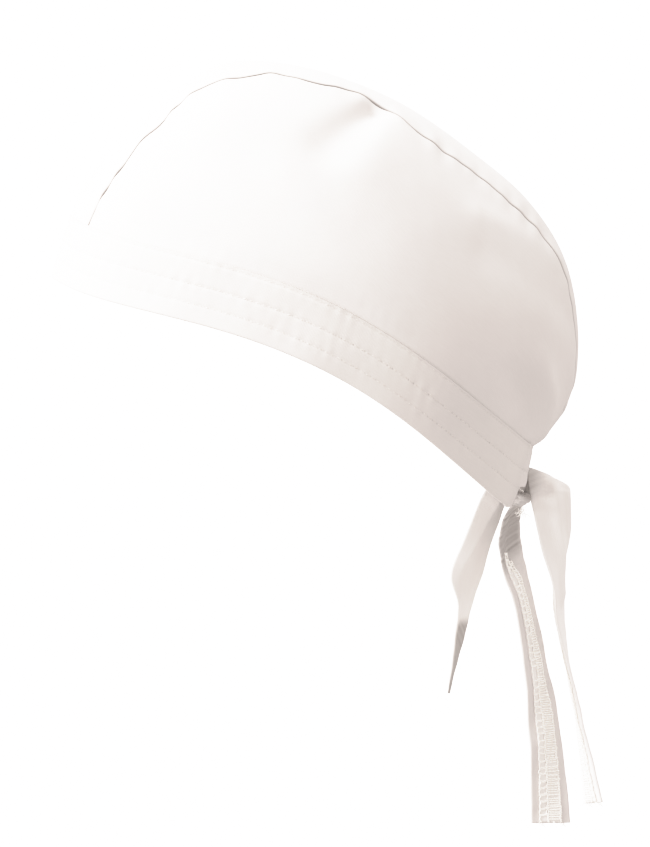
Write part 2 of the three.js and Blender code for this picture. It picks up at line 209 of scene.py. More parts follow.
TIE_RIGHT = table(
    RibbonRow,
    (0, -2.5, 2.8, 0.6, 3.4, 0, -48), (0.06, -4.5, 7.4, 4.4, 6.8, 0, -42),
    (0.1, -3.2, 10.8, 7.4, 9.2, 0, -29), (0.14, 0, 11.9, 7.6, 10, 0, -23),
    (0.19, 2, 12.3, 2, 9.2, 4, -12), (0.26, 1.5, 13.4, -7, 8.6, -14, -2),
    (0.4, 0, 15.4, -28, 8.6, -56, 0), (0.6, -2, 18.4, -59, 8.6, -78, 0),
    (0.8, -4, 25.4, -93, 8.6, -91, 0), (1, -6, 32.2, -131.5, 8.6, -109, -9),
)

BACK_TAIL = table(
    RibbonRow,
    (0, 0, -1.8, 16.5, 7.4, 92, 0), (0.12, 0.5, -7.2, 9, 7.4, 114, 2),
    (0.25, 1, -11.2, 0, 7.2, 138, 20), (0.45, 1.5, -18.3, -18, 8.5, 146, 12),
    (0.6, 1.5, -23, -32.5, 8.7, 156, 0), (0.72, 1.5, -23.7, -46, 4.8, 134, 0),
    (0.84, 1, -26.7, -62, 3.2, 134, 0), (1, 0.5, -30.5, -83, 0.7, 132, 0),
)

RIBBON_START = (0.0, 219.3, 4.6)
TIED_LUMP = Lump((0.0, 219.0, 3.9), (9.5, 4.5, 3.5))
WRAP_LUMP = Lump((0.5, 213.6, 14.0), (9.5, 3.4, 8.2))


class Side(Enum):
    """The two sides of the hat, as the wearer has them."""

    LEFT = 1
    RIGHT = -1


# ---- Small helpers ----


def curve(rows: Sequence[NamedTuple], column: str, at: Array | float) -> Array:
    """One column of a table at a station, on a smooth curve through its rows.

    Args:
        rows: the table, sorted by its column "at".
        column: the name of the column to read.
        at: the station or stations.

    Returns:
        The column's value at each station.
    """
    at = np.asarray(at, float)
    stations = np.array([row.at for row in rows])
    values = np.array([getattr(row, column) for row in rows], float)
    last = len(rows) - 1
    before = np.maximum(np.arange(last + 1) - 1, 0)
    after = np.minimum(np.arange(last + 1) + 1, last)
    slopes = (values[after] - values[before]) / (stations[after] - stations[before])
    index = np.clip(np.searchsorted(stations, at, side="left") - 1, 0, last - 1)
    span = stations[index + 1] - stations[index]
    u = np.clip((at - stations[index]) / span, 0, 1)
    rise = u * u * (3 - 2 * u)
    leave = u * (1 - u) ** 2 * span * slopes[index]
    arrive = u * u * (1 - u) * span * slopes[index + 1]
    return values[index] + rise * (values[index + 1] - values[index]) + leave - arrive


def together(*values: Array | float) -> Sequence[Array]:
    """Values as arrays of numbers that share one shape."""
    return np.broadcast_arrays(*(np.asarray(value, float) for value in values))


def xyz(*parts: Array) -> Array:
    """Points from their x, y and z."""
    return np.stack(parts, axis=-1)


def mirrored(points: Array, sign: Array | float) -> Array:
    """The same points, with X put on the side that the sign gives."""
    points[..., 0] *= sign
    return points


def unit(vectors: Array) -> Array:
    """The same directions with a length of 1."""
    length = np.linalg.norm(vectors, axis=-1, keepdims=True)
    return vectors / np.maximum(length, 1e-9)


def bump(distance: Array, width: float) -> Array:
    """A smooth hump of height 1 that is about twice its width across."""
    return np.exp(-((distance / width) ** 2))


def smooth_step(low: float, high: float, value: Array) -> Array:
    """0 below low, 1 above high, and a smooth ramp between."""
    u = np.clip((np.asarray(value, float) - low) / (high - low), 0, 1)
    return u * u * (3 - 2 * u)


def travelled(points: Array, axis: int) -> Array:
    """Distance along a grid's axis from its first point, in the grid's own unit.

    Args:
        points: the grid.
        axis: the axis to go along.

    Returns:
        The distance at each point.
    """
    steps = np.linalg.norm(np.diff(points, axis=axis), axis=-1)
    start = np.zeros_like(np.take(steps, [0], axis=axis))
    return np.concatenate([start, np.cumsum(steps, axis=axis)], axis=axis)


def solve_rising(rising: Callable[[float], float], low: float, high: float) -> float:
    """The input between low and high at which a rising function reaches 0.

    Args:
        rising: the function.
        low: an input at which it is under 0.
        high: an input at which it is over 0.

    Returns:
        The input.
    """
    for _ in range(50):
        middle = (low + high) / 2
        if rising(middle) < 0:
            low = middle
        else:
            high = middle
    return (low + high) / 2


def linked(name: str, data: bpy.types.ID) -> Piece:
    """A new object in the scene.

    Args:
        name: the object's name.
        data: its mesh, curve, light or camera.

    Returns:
        The object.
    """
    made = bpy.data.objects.new(name, data)
    bpy.context.scene.collection.objects.link(made)
    return made


def deselect_all() -> None:
    """Leaves no object selected."""
    for other in bpy.context.selected_objects:
        other.select_set(False)


@dataclass
class Waves:
    """Uneven waves added up: a seed picks them, and their lengths are in millimetres."""

    seed: int
    shortest: float
    longest: float
    count: int = 7

    def __post_init__(self) -> None:
        """Draws the waves."""
        dice = np.random.default_rng(self.seed)
        limits = math.log(self.shortest), math.log(self.longest)
        self.lengths = np.exp(dice.uniform(*limits, self.count))
        self.draw(dice)

    def draw(self, dice: Dice) -> None:
        """Draws what a kind of waves needs besides its lengths."""
        raise NotImplementedError

    def scaled(self, total: Array) -> Array:
        """A sum of the waves, scaled to about -1 to 1."""
        return total / math.sqrt(self.count / 2) / WAVE_PEAK


class Ripple(Waves):
    """Waves along a line, as seam puckers are: never the same height or length twice."""

    def draw(self, dice: Dice) -> None:
        """Draws the phases and a slow swell.

        Args:
            dice: source of unevenness.
        """
        self.phases = dice.uniform(0, 2 * math.pi, self.count)
        self.swell = dice.uniform(4, 9) * self.longest
        self.swell_phase = dice.uniform(0, 2 * math.pi)

    def __call__(self, distance: Array) -> Array:
        """Heights at distances along the line.

        Args:
            distance: the distances in millimetres.

        Returns:
            Heights of about -1 to 1.
        """
        turn = 2 * math.pi * distance
        pairs = zip(self.lengths, self.phases)
        total = sum(np.sin(turn / length + phase) for length, phase in pairs)
        return self.scaled((0.7 + 0.3 * np.sin(turn / self.swell + self.swell_phase)) * total)


@dataclass
class SoftWaves(Waves):
    """Shallow waves in every direction, as slack cloth has."""

    count: int = 16

    def draw(self, dice: Dice) -> None:
        """Draws the directions and the phases."""
        self.pace = unit(dice.normal(size=(self.count, 3))) * 2 * math.pi / self.lengths[:, None]
        self.phases = dice.uniform(0, 2 * math.pi, self.count)

    def __call__(self, points: Array) -> Array:
        """Heights of about -1 to 1 at points."""
        pairs = zip(self.pace, self.phases)
        return self.scaled(sum(np.sin(points @ pace + phase) for pace, phase in pairs))


# ---- The shape of the worn hat ----


@dataclass(frozen=True)
class HatShape:
    """The surface that the crown and the band lie on, in the rim frame."""

    rim_length: float = 217.0
    rim_half_width: float = 76.0
    rim_tilt: float = 27.0
    rim_roundness: float = 0.88
    rim_egg: float = 0.05
    rim_bow: float = 19.0
    rim_bow_power: float = 3.0
    band_top_front: float = -5.0
    band_top_back: float = 213.0
    crown_wall: float = 1.2
    band_gap: float = 0.6

    def rim(self, at: Array) -> Array:
        """Points on the rim, on the left side of the hat.

        Args:
            at: stations.

        Returns:
            Points in the rim frame.
        """
        angle = math.pi * np.asarray(at, float)
        sine = np.maximum(np.sin(angle), 0)
        across = self.rim_half_width * sine**self.rim_roundness
        return xyz(
            across * (1 - self.rim_egg * np.cos(angle)),
            self.rim_length / 2 * (1 - np.cos(angle)),
            self.rim_bow * sine**self.rim_bow_power,
        )

    def band_top(self, at: Array) -> Array:
        """Points on the band's top edge, where the crown starts.

        Args:
            at: stations.

        Returns:
            Points in the rim frame, on the left side.
        """
        point = self.rim(at)
        share = (1 - np.cos(math.pi * np.asarray(at, float))) / 2
        point[..., 1] = self.band_top_front + (self.band_top_back - self.band_top_front) * share
        point[..., 2] += curve(BAND, "top", at)
        return point

    def arch(self, at: Array, angle: Array) -> Array:
        """Points on the arch from the band's top edge (angle 0) to the centre line (90 degrees).

        Args:
            at: stations.
            angle: angles on the arch, in radians.

        Returns:
            Points in the rim frame, on the left side.
        """
        at, angle = together(at, angle)
        foot = self.band_top(at)
        full = curve(CENTRE_LINE, "full", at)
        rise = np.maximum(np.sin(angle), 0) ** full
        reach = np.maximum(np.cos(angle), 0) ** full
        return xyz(
            foot[..., 0] * reach,
            foot[..., 1] + (curve(CENTRE_LINE, "along", at) - foot[..., 1]) * rise,
            foot[..., 2] + (curve(CENTRE_LINE, "height", at) - foot[..., 2]) * rise,
        )

    def arch_angle(self, at: Array, x: Array) -> Array:
        """The arch's angle at a distance x from the centre line.

        Args:
            at: stations.
            x: distances from the centre line.

        Returns:
            Angles in radians.
        """
        full = curve(CENTRE_LINE, "full", at)
        foot = np.maximum(self.band_top(at)[..., 0], 1e-9)
        return np.arccos(np.minimum(x / foot, 1) ** (1 / full))

    def arch_normal(self, at: Array, angle: Array) -> Array:
        """Directions square to the arch, pointing out of the hat.

        Args:
            at: stations.
            angle: angles on the arch.

        Returns:
            Unit vectors in the rim frame, on the left side.
        """
        at, angle = together(at, angle)
        inside = np.clip(at, 3 * STEP, 1 - 3 * STEP)
        above = self.arch(inside, np.minimum(angle + STEP, math.pi / 2))
        up = above - self.arch(inside, np.maximum(angle - STEP, 0))
        back = self.arch(inside + STEP, angle) - self.arch(inside - STEP, angle)
        return unit(np.cross(back, up))

    def band(self, at: Array, share: Array) -> Array:
        """Points up the band, from its bottom edge (share 0) to its top edge (share 1).

        Args:
            at: stations.
            share: shares of the way up.

        Returns:
            Points in the rim frame, on the left side.
        """
        at, share = together(at, share)
        top = self.band_top(at)
        drawn = curve(BAND, "drawn", at)[..., None]
        bottom = self.rim(at) * (1 - drawn) + top * drawn
        bottom[..., 1] += curve(BAND, "flare", at)
        top = top - unit(top - bottom) * self.band_gap
        return bottom + (top - bottom) * share[..., None]

    def band_upwards(self, at: Array) -> Array:
        """Directions up the band."""
        return unit(self.band(at, 1.0) - self.band(at, 0.0))

    def band_normal(self, at: Array, share: Array, end: float) -> Array:
        """Directions square to the band, pointing out of the hat, up to its end station.

        Args:
            at: stations.
            share: shares of the way up the band.
            end: the last station that a slope is read at.

        Returns:
            Unit vectors in the rim frame, on the left side.
        """
        at, share = together(at, share)
        inside = np.clip(at, STEP, end - STEP)
        forth = self.band(inside + STEP, share) - self.band(inside - STEP, share)
        normal = unit(np.cross(forth, self.band(inside, 1.0) - self.band(inside, 0.0)))
        flat = unit(normal * np.array([0.0, 1.0, 1.0]))
        return np.where((at < STEP)[..., None], flat, normal)

    def folds(self, points: Array) -> Array:
        """How far the dents and folds lift or sink the cloth at points.

        Args:
            points: points in the rim frame.

        Returns:
            Heights along the normal.
        """
        height = np.zeros(points.shape[:-1])
        for fold in FOLDS:
            start, end = np.array(fold.start, float), np.array(fold.end, float)
            run = end - start
            share = np.clip((points - start) @ run / (run @ run), 0, 1)
            nearest = start + share[..., None] * run
            end_depth = fold.depth if fold.end_depth is None else fold.end_depth
            end_width = fold.width if fold.end_width is None else fold.end_width
            depth = fold.depth + (end_depth - fold.depth) * share
            width = fold.width + (end_width - fold.width) * share
            height += depth * bump(np.linalg.norm(points - nearest, axis=-1), width)
        return height

    def turned(self, points: Array) -> Array:
        """Directions or points of the rim frame, turned as the hat is worn.

        Args:
            points: points or directions in the rim frame.

        Returns:
            The same, in the world's directions.
        """
        tilt = math.radians(-self.rim_tilt)
        cosine, sine = math.cos(tilt), math.sin(tilt)
        y = points[..., 1] * cosine - points[..., 2] * sine
        z = points[..., 1] * sine + points[..., 2] * cosine
        return xyz(points[..., 0], y, z)

    def head_contact(self) -> Array:
        """The highest inner point of the crown's centre line, turned: the world's origin.

        Returns:
            The point, in the world's directions.
        """
        at = np.arange(0.2, 0.8, 0.002)
        outer = self.arch(at, math.pi / 2)
        normal = self.arch_normal(at, math.pi / 2)
        lift = self.folds(outer) - self.crown_wall
        inner = self.turned(outer + normal * lift[..., None])
        return inner[np.argmax(inner[:, 2])]

    def world(self, points: Array) -> Array:
        """Points of the rim frame in the world frame, in millimetres."""
        return self.turned(points) - WORLD_ORIGIN

    def strip_half(self, at: Array, side: Side) -> Array:
        """Distance of a long seam from the centre line."""
        return curve(STRIP, side.name.lower(), at)

    def stations_of(self, across: Callable[[Array], Array]) -> tuple[float, float]:
        """Where a lengthwise line of the crown meets the band.

        Args:
            across: the line's distance from the centre line, by station.

        Returns:
            The station at the front and the one at the back.
        """

        def reach(at: float) -> float:
            """How far the band's top edge lies outside the line."""
            here = np.array(at)
            return float(self.band_top(here)[0] - across(here))

        first = solve_rising(reach, 0.0, 0.3)
        return first, 1 - solve_rising(lambda back: reach(1 - back), 0.0, 0.3)


SHAPE = HatShape()
WORLD_ORIGIN = SHAPE.head_contact()

# ---- From grids of points to meshes ----


@dataclass
class ClothMesh:
    """Points and faces of a closed sheet, gathered before Blender sees them."""

    points: Array
    uv: Array
    faces: list[tuple[int, ...]]
    # seam: painted shade of each point, 0 to 1, kept as the seam attribute
    seam: Array | None = None

    def object(self, name: str, merge_mm: float = 0.004) -> Piece:
        """Makes the Blender object, with shared points merged and faces pointing out.

        Args:
            name: the piece's name.
            merge_mm: points closer than this become one.

        Returns:
            The object, at the origin, with its place in its mesh.
        """
        mesh = bpy.data.meshes.new(name)
        mesh.from_pydata((self.points * MM).tolist(), [], self.faces)
        layer = mesh.uv_layers.new(name="cloth")
        corner = np.zeros(len(mesh.loops), np.int32)
        mesh.loops.foreach_get("vertex_index", corner)
        layer.data.foreach_set("uv", (self.uv[corner] * MM).astype(np.float32).ravel())
        # the seam attribute carries painted shade, which the cloth's material darkens by
        if self.seam is not None:
            mark = mesh.attributes.new("seam", "FLOAT", "POINT")
            mark.data.foreach_set("value", self.seam.astype(np.float32).ravel())
        work = bmesh.new()
        work.from_mesh(mesh)
        bmesh.ops.remove_doubles(work, verts=work.verts, dist=merge_mm * MM)
        bmesh.ops.dissolve_degenerate(work, edges=work.edges, dist=merge_mm * MM * 0.2)
        if work.calc_volume(signed=True) < 0:
            bmesh.ops.reverse_faces(work, faces=work.faces)
        for face in work.faces:
            face.smooth = True
        work.to_mesh(mesh)
        work.free()
        return linked(name, mesh)


def quads(*corners: Array) -> list[tuple[int, ...]]:
    """Faces from four arrays of corners."""
    return list(zip(*(corner.ravel().tolist() for corner in corners)))


def walled(outer: Array, inner: Array, uv: Array, seam: Array | None = None) -> ClothMesh:
    """A closed sheet between two grids of points with the same rows and columns.

    Args:
        outer: outer points, rows by columns by 3.
        inner: inner points, of the same size.
        uv: place on the flat cloth, rows by columns by 2, in millimetres.
        seam: painted shade of each outer point, 0 to 1, rows by columns.

    Returns:
        The closed mesh.
    """
    rows, columns = outer.shape[:2]
    layer = rows * columns
    spot = np.arange(layer).reshape(rows, columns)
    faces = quads(spot[:-1, :-1], spot[:-1, 1:], spot[1:, 1:], spot[1:, :-1])
    faces += [(layer + q, layer + r, layer + s, layer + p) for p, s, r, q in faces]
    edge = [*spot[0, :-1], *spot[:-1, -1], *spot[-1, :0:-1], *spot[:0:-1, 0]]
    for here, following in zip(edge, edge[1:] + edge[:1]):
        faces.append((int(here), int(layer + here), int(layer + following), int(following)))
    points = np.concatenate([outer.reshape(-1, 3), inner.reshape(-1, 3)])
    flat = uv.reshape(-1, 2)
    # the inner face gets no painted shade
    depth = None if seam is None else np.concatenate([seam.ravel(), np.zeros(layer)])
    return ClothMesh(points, np.concatenate([flat, flat]), faces, depth)


def tube(rings: Array, uv: Array, seam: Array | None = None) -> ClothMesh:
    """A closed tube through rings of points, with a fan of faces over each end.

    Args:
        rings: rings by points round a ring by 3.
        uv: place on the flat cloth for each point, in millimetres.
        seam: painted shade of each point, 0 to 1.

    Returns:
        The closed mesh.
    """
    count, around = rings.shape[:2]
    spot = np.arange(count * around).reshape(count, around)
    beside = np.roll(spot, -1, axis=1)
    faces = quads(spot[:-1], beside[:-1], beside[1:], spot[1:])
    points = [rings.reshape(-1, 3)]
    flats = [uv.reshape(-1, 2)]
    for end, ring in ((0, spot[0][::-1]), (count - 1, spot[-1])):
        middle = count * around + len(points) - 1
        points.append(rings[end].mean(axis=0)[None])
        flats.append(uv[end].mean(axis=0)[None])
        for here, following in zip(ring.tolist(), np.roll(ring, -1).tolist()):
            faces.append((here, following, middle))
    # the two end points get no painted shade
    depth = None if seam is None else np.concatenate([seam.ravel(), np.zeros(2)])
    return ClothMesh(np.concatenate(points), np.concatenate(flats), faces, depth)


def finished(piece: Piece, material: Material, replaces: Sequence[str] = ()) -> Piece:
    """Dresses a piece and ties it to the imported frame.

    Args:
        piece: the object.
        material: its finish.
        replaces: CAD nodes that the piece stands for.

    Returns:
        The same object.
    """
    piece.data.materials.clear()
    piece.data.materials.append(material)
    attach(piece, "root")
    if replaces:
        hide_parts(*replaces)
    piece.data.calc_loop_triangles()
    LOG.info("%s: %d triangles", piece.name, len(piece.data.loop_triangles))
    return piece


# ---- Finishes ----


def linear(colour: str) -> tuple[float, float, float, float]:
    """An sRGB hex colour as linear RGBA.

    Args:
        colour: a hash and six digits.

    Returns:
        Red, green, blue and a full alpha.
    """
    channels = [int(colour[i : i + 2], 16) / 255 for i in (1, 3, 5)]
    made = [c / 12.92 if c <= 0.04045 else ((c + 0.055) / 1.055) ** 2.4 for c in channels]
    return (made[0], made[1], made[2], 1.0)


def add_node(tree: Tree, kind: str, inputs: dict | None = None, **settings: object) -> Node:
    """Adds a node with its settings and its inputs' values or links.

    Args:
        tree: the material's or world's node tree.
        kind: the node's type name, without its first word "ShaderNode".
        inputs: a value or an output socket for each named or numbered input.
        settings: properties of the node.

    Returns:
        The node.
    """
    node = tree.nodes.new("ShaderNode" + kind)
    for name, value in settings.items():
        setattr(node, name, value)
    for name, value in (inputs or {}).items():
        if isinstance(value, Socket):
            tree.links.new(value, node.inputs[name])
        else:
            node.inputs[name].default_value = value
    return node


def arithmetic(tree: Tree, operation: str, *values: Socket | float) -> Socket:
    """One sum on one or two values."""
    return add_node(tree, "Math", dict(enumerate(values)), operation=operation).outputs[0]


def product(tree: Tree, first: Socket, second: Socket | float) -> Socket:
    """Two values multiplied."""
    return arithmetic(tree, "MULTIPLY", first, second)


def mixed(tree: Tree, share: Socket, first: object, second: object, blend: str = "MIX") -> Socket:
    """Two colours, blended by a share."""
    inputs = {0: share, 6: first, 7: second}
    return add_node(tree, "Mix", inputs, data_type="RGBA", blend_type=blend).outputs[2]


def noise(tree: Tree, place: Socket, scale: float, dimensions: str = "3D", **more: float) -> Socket:
    """Soft noise at a place; more names its other inputs."""
    inputs = {"Vector": place, "Scale": scale, **more}
    return add_node(tree, "TexNoise", inputs, noise_dimensions=dimensions).outputs["Fac"]


def spread(tree: Tree, value: Socket, low: float, high: float) -> Socket:
    """A value stretched so that low becomes 0 and high becomes 1."""
    inputs = {"Value": value, "From Min": low, "From Max": high}
    return add_node(tree, "MapRange", inputs).outputs["Result"]


def new_material(name: str) -> tuple[Material, Tree, Node]:
    """A new material, its node tree and a texture coordinate node in it.

    Args:
        name: the material's name.

    Returns:
        The material, its tree and the node.
    """
    material = bpy.data.materials.new(name)
    material.use_nodes = True
    material.node_tree.nodes.clear()
    return material, material.node_tree, add_node(material.node_tree, "TexCoord")


def surface(tree: Tree, inputs: dict[str, object]) -> None:
    """Ends a material with a principled shader."""
    shader = add_node(tree, "BsdfPrincipled", inputs)
    add_node(tree, "OutputMaterial", {"Surface": shader.outputs["BSDF"]})


@dataclass(frozen=True)
class SeamRow:
    """A row of stitches that a cloth's material marks with painted shade at its needle holes."""

    across_mm: float
    pitch_mm: float
    strength: float = 0.4


@dataclass(frozen=True)
class CottonPoplin:
    """Bleached cotton poplin, plain woven and mangled: matt white with a faint thread grain.

    Its threads lie about 0.2 mm apart. That is too fine to show, so the weave is drawn at
    weave_mm. Fibre ends scatter light at the edges, which the sheen gives.
    """

    name: str = "bleached cotton poplin, plain woven"
    colour: str = "#E8E5E3"
    shade: str = "#E0DCDA"
    weave_mm: float = 0.62
    weave_depth_mm: float = 0.035
    slub_mm: float = 7.0
    crumple_mm: float = 16.0
    crumple_depth_mm: float = 0.20
    crease_mm: float = 34.0
    crease_depth_mm: float = 0.10
    roughness: float = 0.88
    sheen: float = 0.12
    # how dark the painted shade of the seam attribute goes
    painted_seam_shade: float = 0.9
    rows: tuple[SeamRow, ...] = ()

    def material(self) -> Material:
        """Builds the node tree.

        Returns:
            The material.
        """
        material, tree, place = new_material(self.name)
        uv, spot = place.outputs["UV"], place.outputs["Object"]
        weave = self._weave(tree, uv)
        slub = self._slub(tree, uv)
        tone = spread(tree, noise(tree, spot, 1 / (55 * MM), Detail=3.0), 0.35, 0.75)
        colour = mixed(tree, tone, linear(self.colour), linear(self.shade))
        grain = product(tree, slub, 0.10)
        last = mixed(tree, grain, colour, linear("#CFC8C2"), "MULTIPLY")
        last = self._painted_shade(tree, last)
        for row in self.rows:
            last = self._needle_hole_shade(tree, uv, row, last)
        normal = self._relief(tree, spot, weave, slub)
        gloss = {"Roughness": self.roughness, "IOR": 1.47, "Specular IOR Level": 0.25}
        fuzz = {"Sheen Weight": self.sheen, "Sheen Roughness": 0.45}
        surface(tree, {"Base Color": last, "Normal": normal, **gloss, **fuzz})
        return material

    def _painted_shade(self, tree: Tree, under: Socket) -> Socket:
        """Paints shade where the mesh's seam attribute asks for it: beside the crown's seams, along
        the band's top edge, over the knot and on the ties.

        Args:
            tree: the node tree.
            under: the colour to darken.

        Returns:
            The darkened colour.
        """
        # painted shade: the seam attribute, times its strength, darkens the colour towards a warm
        # dark grey
        depth = add_node(tree, "Attribute", attribute_name="seam").outputs["Fac"]
        share = product(tree, depth, self.painted_seam_shade)
        return mixed(tree, share, under, linear("#6B5F57"), "MULTIPLY")

    def _weave(self, tree: Tree, uv: Socket) -> Socket:
        """Over-and-under threads: the product of a wave along the warp and one along the weft.

        Args:
            tree: the node tree.
            uv: place on the flat cloth, in metres.

        Returns:
            The height of the weave, 0 to 1.
        """
        # A band texture repeats about every 2 pi / 20 of its scale.
        pace = {"Vector": uv, "Scale": 2 * math.pi / 20 / (self.weave_mm * MM)}
        uneven = {"Distortion": 0.6, "Detail": 1.0, "Detail Scale": 0.4}
        settings = {"wave_type": "BANDS", "wave_profile": "SIN"}
        warp, weft = (
            add_node(tree, "TexWave", {**pace, **uneven}, bands_direction=way, **settings)
            for way in ("X", "Y")
        )
        return product(tree, warp.outputs["Fac"], weft.outputs["Fac"])

    def _slub(self, tree: Tree, uv: Socket) -> Socket:
        """Thick and thin places in the yarn: noise drawn out along one thread direction.

        Args:
            tree: the node tree.
            uv: place on the flat cloth, in metres.

        Returns:
            The thickness of the yarn, 0 to 1.
        """
        scale = (1 / (self.slub_mm * MM), 1 / (0.6 * MM), 1.0)
        long_way = add_node(tree, "Mapping", {"Vector": uv, "Scale": scale})
        return noise(tree, long_way.outputs["Vector"], 1.0, "2D", Detail=2.0)

    def _relief(self, tree: Tree, place: Socket, weave: Socket, slub: Socket) -> Socket:
        """Bumps from the soft crumple, the faint creases, the slubs and the weave, in turn.

        Args:
            tree: the node tree.
            place: place in the object.
            weave: height of the weave.
            slub: thickness of the yarn.

        Returns:
            The normal.
        """
        crumple = noise(tree, place, 1 / (self.crumple_mm * MM), Detail=3.0, Roughness=0.45)
        inputs = {"Vector": place, "Scale": 1 / (self.crease_mm * MM), "Smoothness": 0.6}
        kind = {"feature": "SMOOTH_F1", "voronoi_dimensions": "3D"}
        crease = add_node(tree, "TexVoronoi", inputs, **kind).outputs["Distance"]
        under = {}
        for height, depth in (
            (crumple, self.crumple_depth_mm),
            (crease, self.crease_depth_mm * 3),
            (slub, 0.02),
            (weave, self.weave_depth_mm),
        ):
            inputs = {"Height": height, "Distance": depth * MM, "Strength": 1.0, **under}
            under = {"Normal": add_node(tree, "Bump", inputs).outputs["Normal"]}
        return under["Normal"]

    def _needle_hole_shade(self, tree: Tree, uv: Socket, row: SeamRow, under: Socket) -> Socket:
        """Paints shade in a small spot at each needle hole of a row, patchy along it.

        Args:
            tree: the node tree.
            uv: place on the flat cloth, in metres.
            row: the row of stitches.
            under: the colour to darken.

        Returns:
            The darkened colour.
        """
        parts = add_node(tree, "SeparateXYZ", {0: uv})
        steps = product(tree, parts.outputs["X"], 1 / (row.pitch_mm * MM))
        centred = arithmetic(tree, "SUBTRACT", arithmetic(tree, "FRACT", steps), 0.5)
        along = product(tree, centred, row.pitch_mm)
        height = product(tree, parts.outputs["Y"], 1 / MM)
        across = arithmetic(tree, "SUBTRACT", height, row.across_mm)
        offset = add_node(tree, "CombineXYZ", {"X": along, "Y": across}).outputs[0]
        distance = add_node(tree, "VectorMath", {0: offset}, operation="LENGTH").outputs["Value"]
        inputs = {"Value": distance, "From Min": 0.55, "From Max": 0.15}
        inputs |= {"To Min": 0.0, "To Max": row.strength}
        mask = add_node(tree, "MapRange", inputs, interpolation_type="SMOOTHSTEP")
        # the painted shade is stronger in some places along the row than in others
        pulled = spread(tree, noise(tree, uv, 1 / (5.5 * MM), "2D", Detail=2.0), 0.40, 0.62)
        shown = product(tree, mask.outputs["Result"], pulled)
        return mixed(tree, shown, under, linear("#8F857C"), "MULTIPLY")


@dataclass(frozen=True)
class SpunThread:
    """Spun polyester sewing thread, two-ply twisted: brighter than the cloth, with a soft gloss.

    Its weak emission is a painted glow that makes it read brighter; it stands for the faint light
    that the whitener in polyester gives back.
    """

    name: str = "spun polyester thread, twisted"
    colour: str = "#FBFAF7"
    shade: str = "#E6E0D9"
    twist_mm: float = 0.5
    roughness: float = 0.55
    painted_glow: float = 0.17

    def material(self) -> Material:
        """Builds the node tree.

        Returns:
            The material.
        """
        material, tree, place = new_material(self.name)
        pace = 2 * math.pi / 20 / (self.twist_mm * MM)
        inputs = {"Vector": place.outputs["Object"], "Scale": pace, "Distortion": 1.5}
        twist = add_node(tree, "TexWave", inputs, wave_type="BANDS", bands_direction="DIAGONAL")
        ply = twist.outputs["Fac"]
        colour = mixed(tree, ply, linear(self.shade), linear(self.colour))
        relief = add_node(tree, "Bump", {"Height": ply, "Distance": 0.04 * MM, "Strength": 0.8})
        # painted glow: the thread gives off a little light of its own colour
        glow = {"Emission Color": linear(self.colour), "Emission Strength": self.painted_glow}
        look = {"Roughness": self.roughness, "Sheen Weight": 0.2, "IOR": 1.5, **glow}
        surface(tree, {"Base Color": colour, "Normal": relief.outputs["Normal"], **look})
        return material


@dataclass(frozen=True)
class StudioPaper:
    """Matt white background paper: no gloss, and a faint pulp mottle."""

    name: str = "matt white background paper"
    colour: str = "#FBFBFB"

    def material(self) -> Material:
        """Builds the node tree.

        Returns:
            The material.
        """
        material, tree, place = new_material(self.name)
        pulp = noise(tree, place.outputs["Object"], 90.0)
        colour = mixed(tree, pulp, linear(self.colour), linear("#F8F8F8"))
        surface(tree, {"Base Color": colour, "Roughness": 1.0, "Specular IOR Level": 0.0})
        return material


# ---- Crown ----


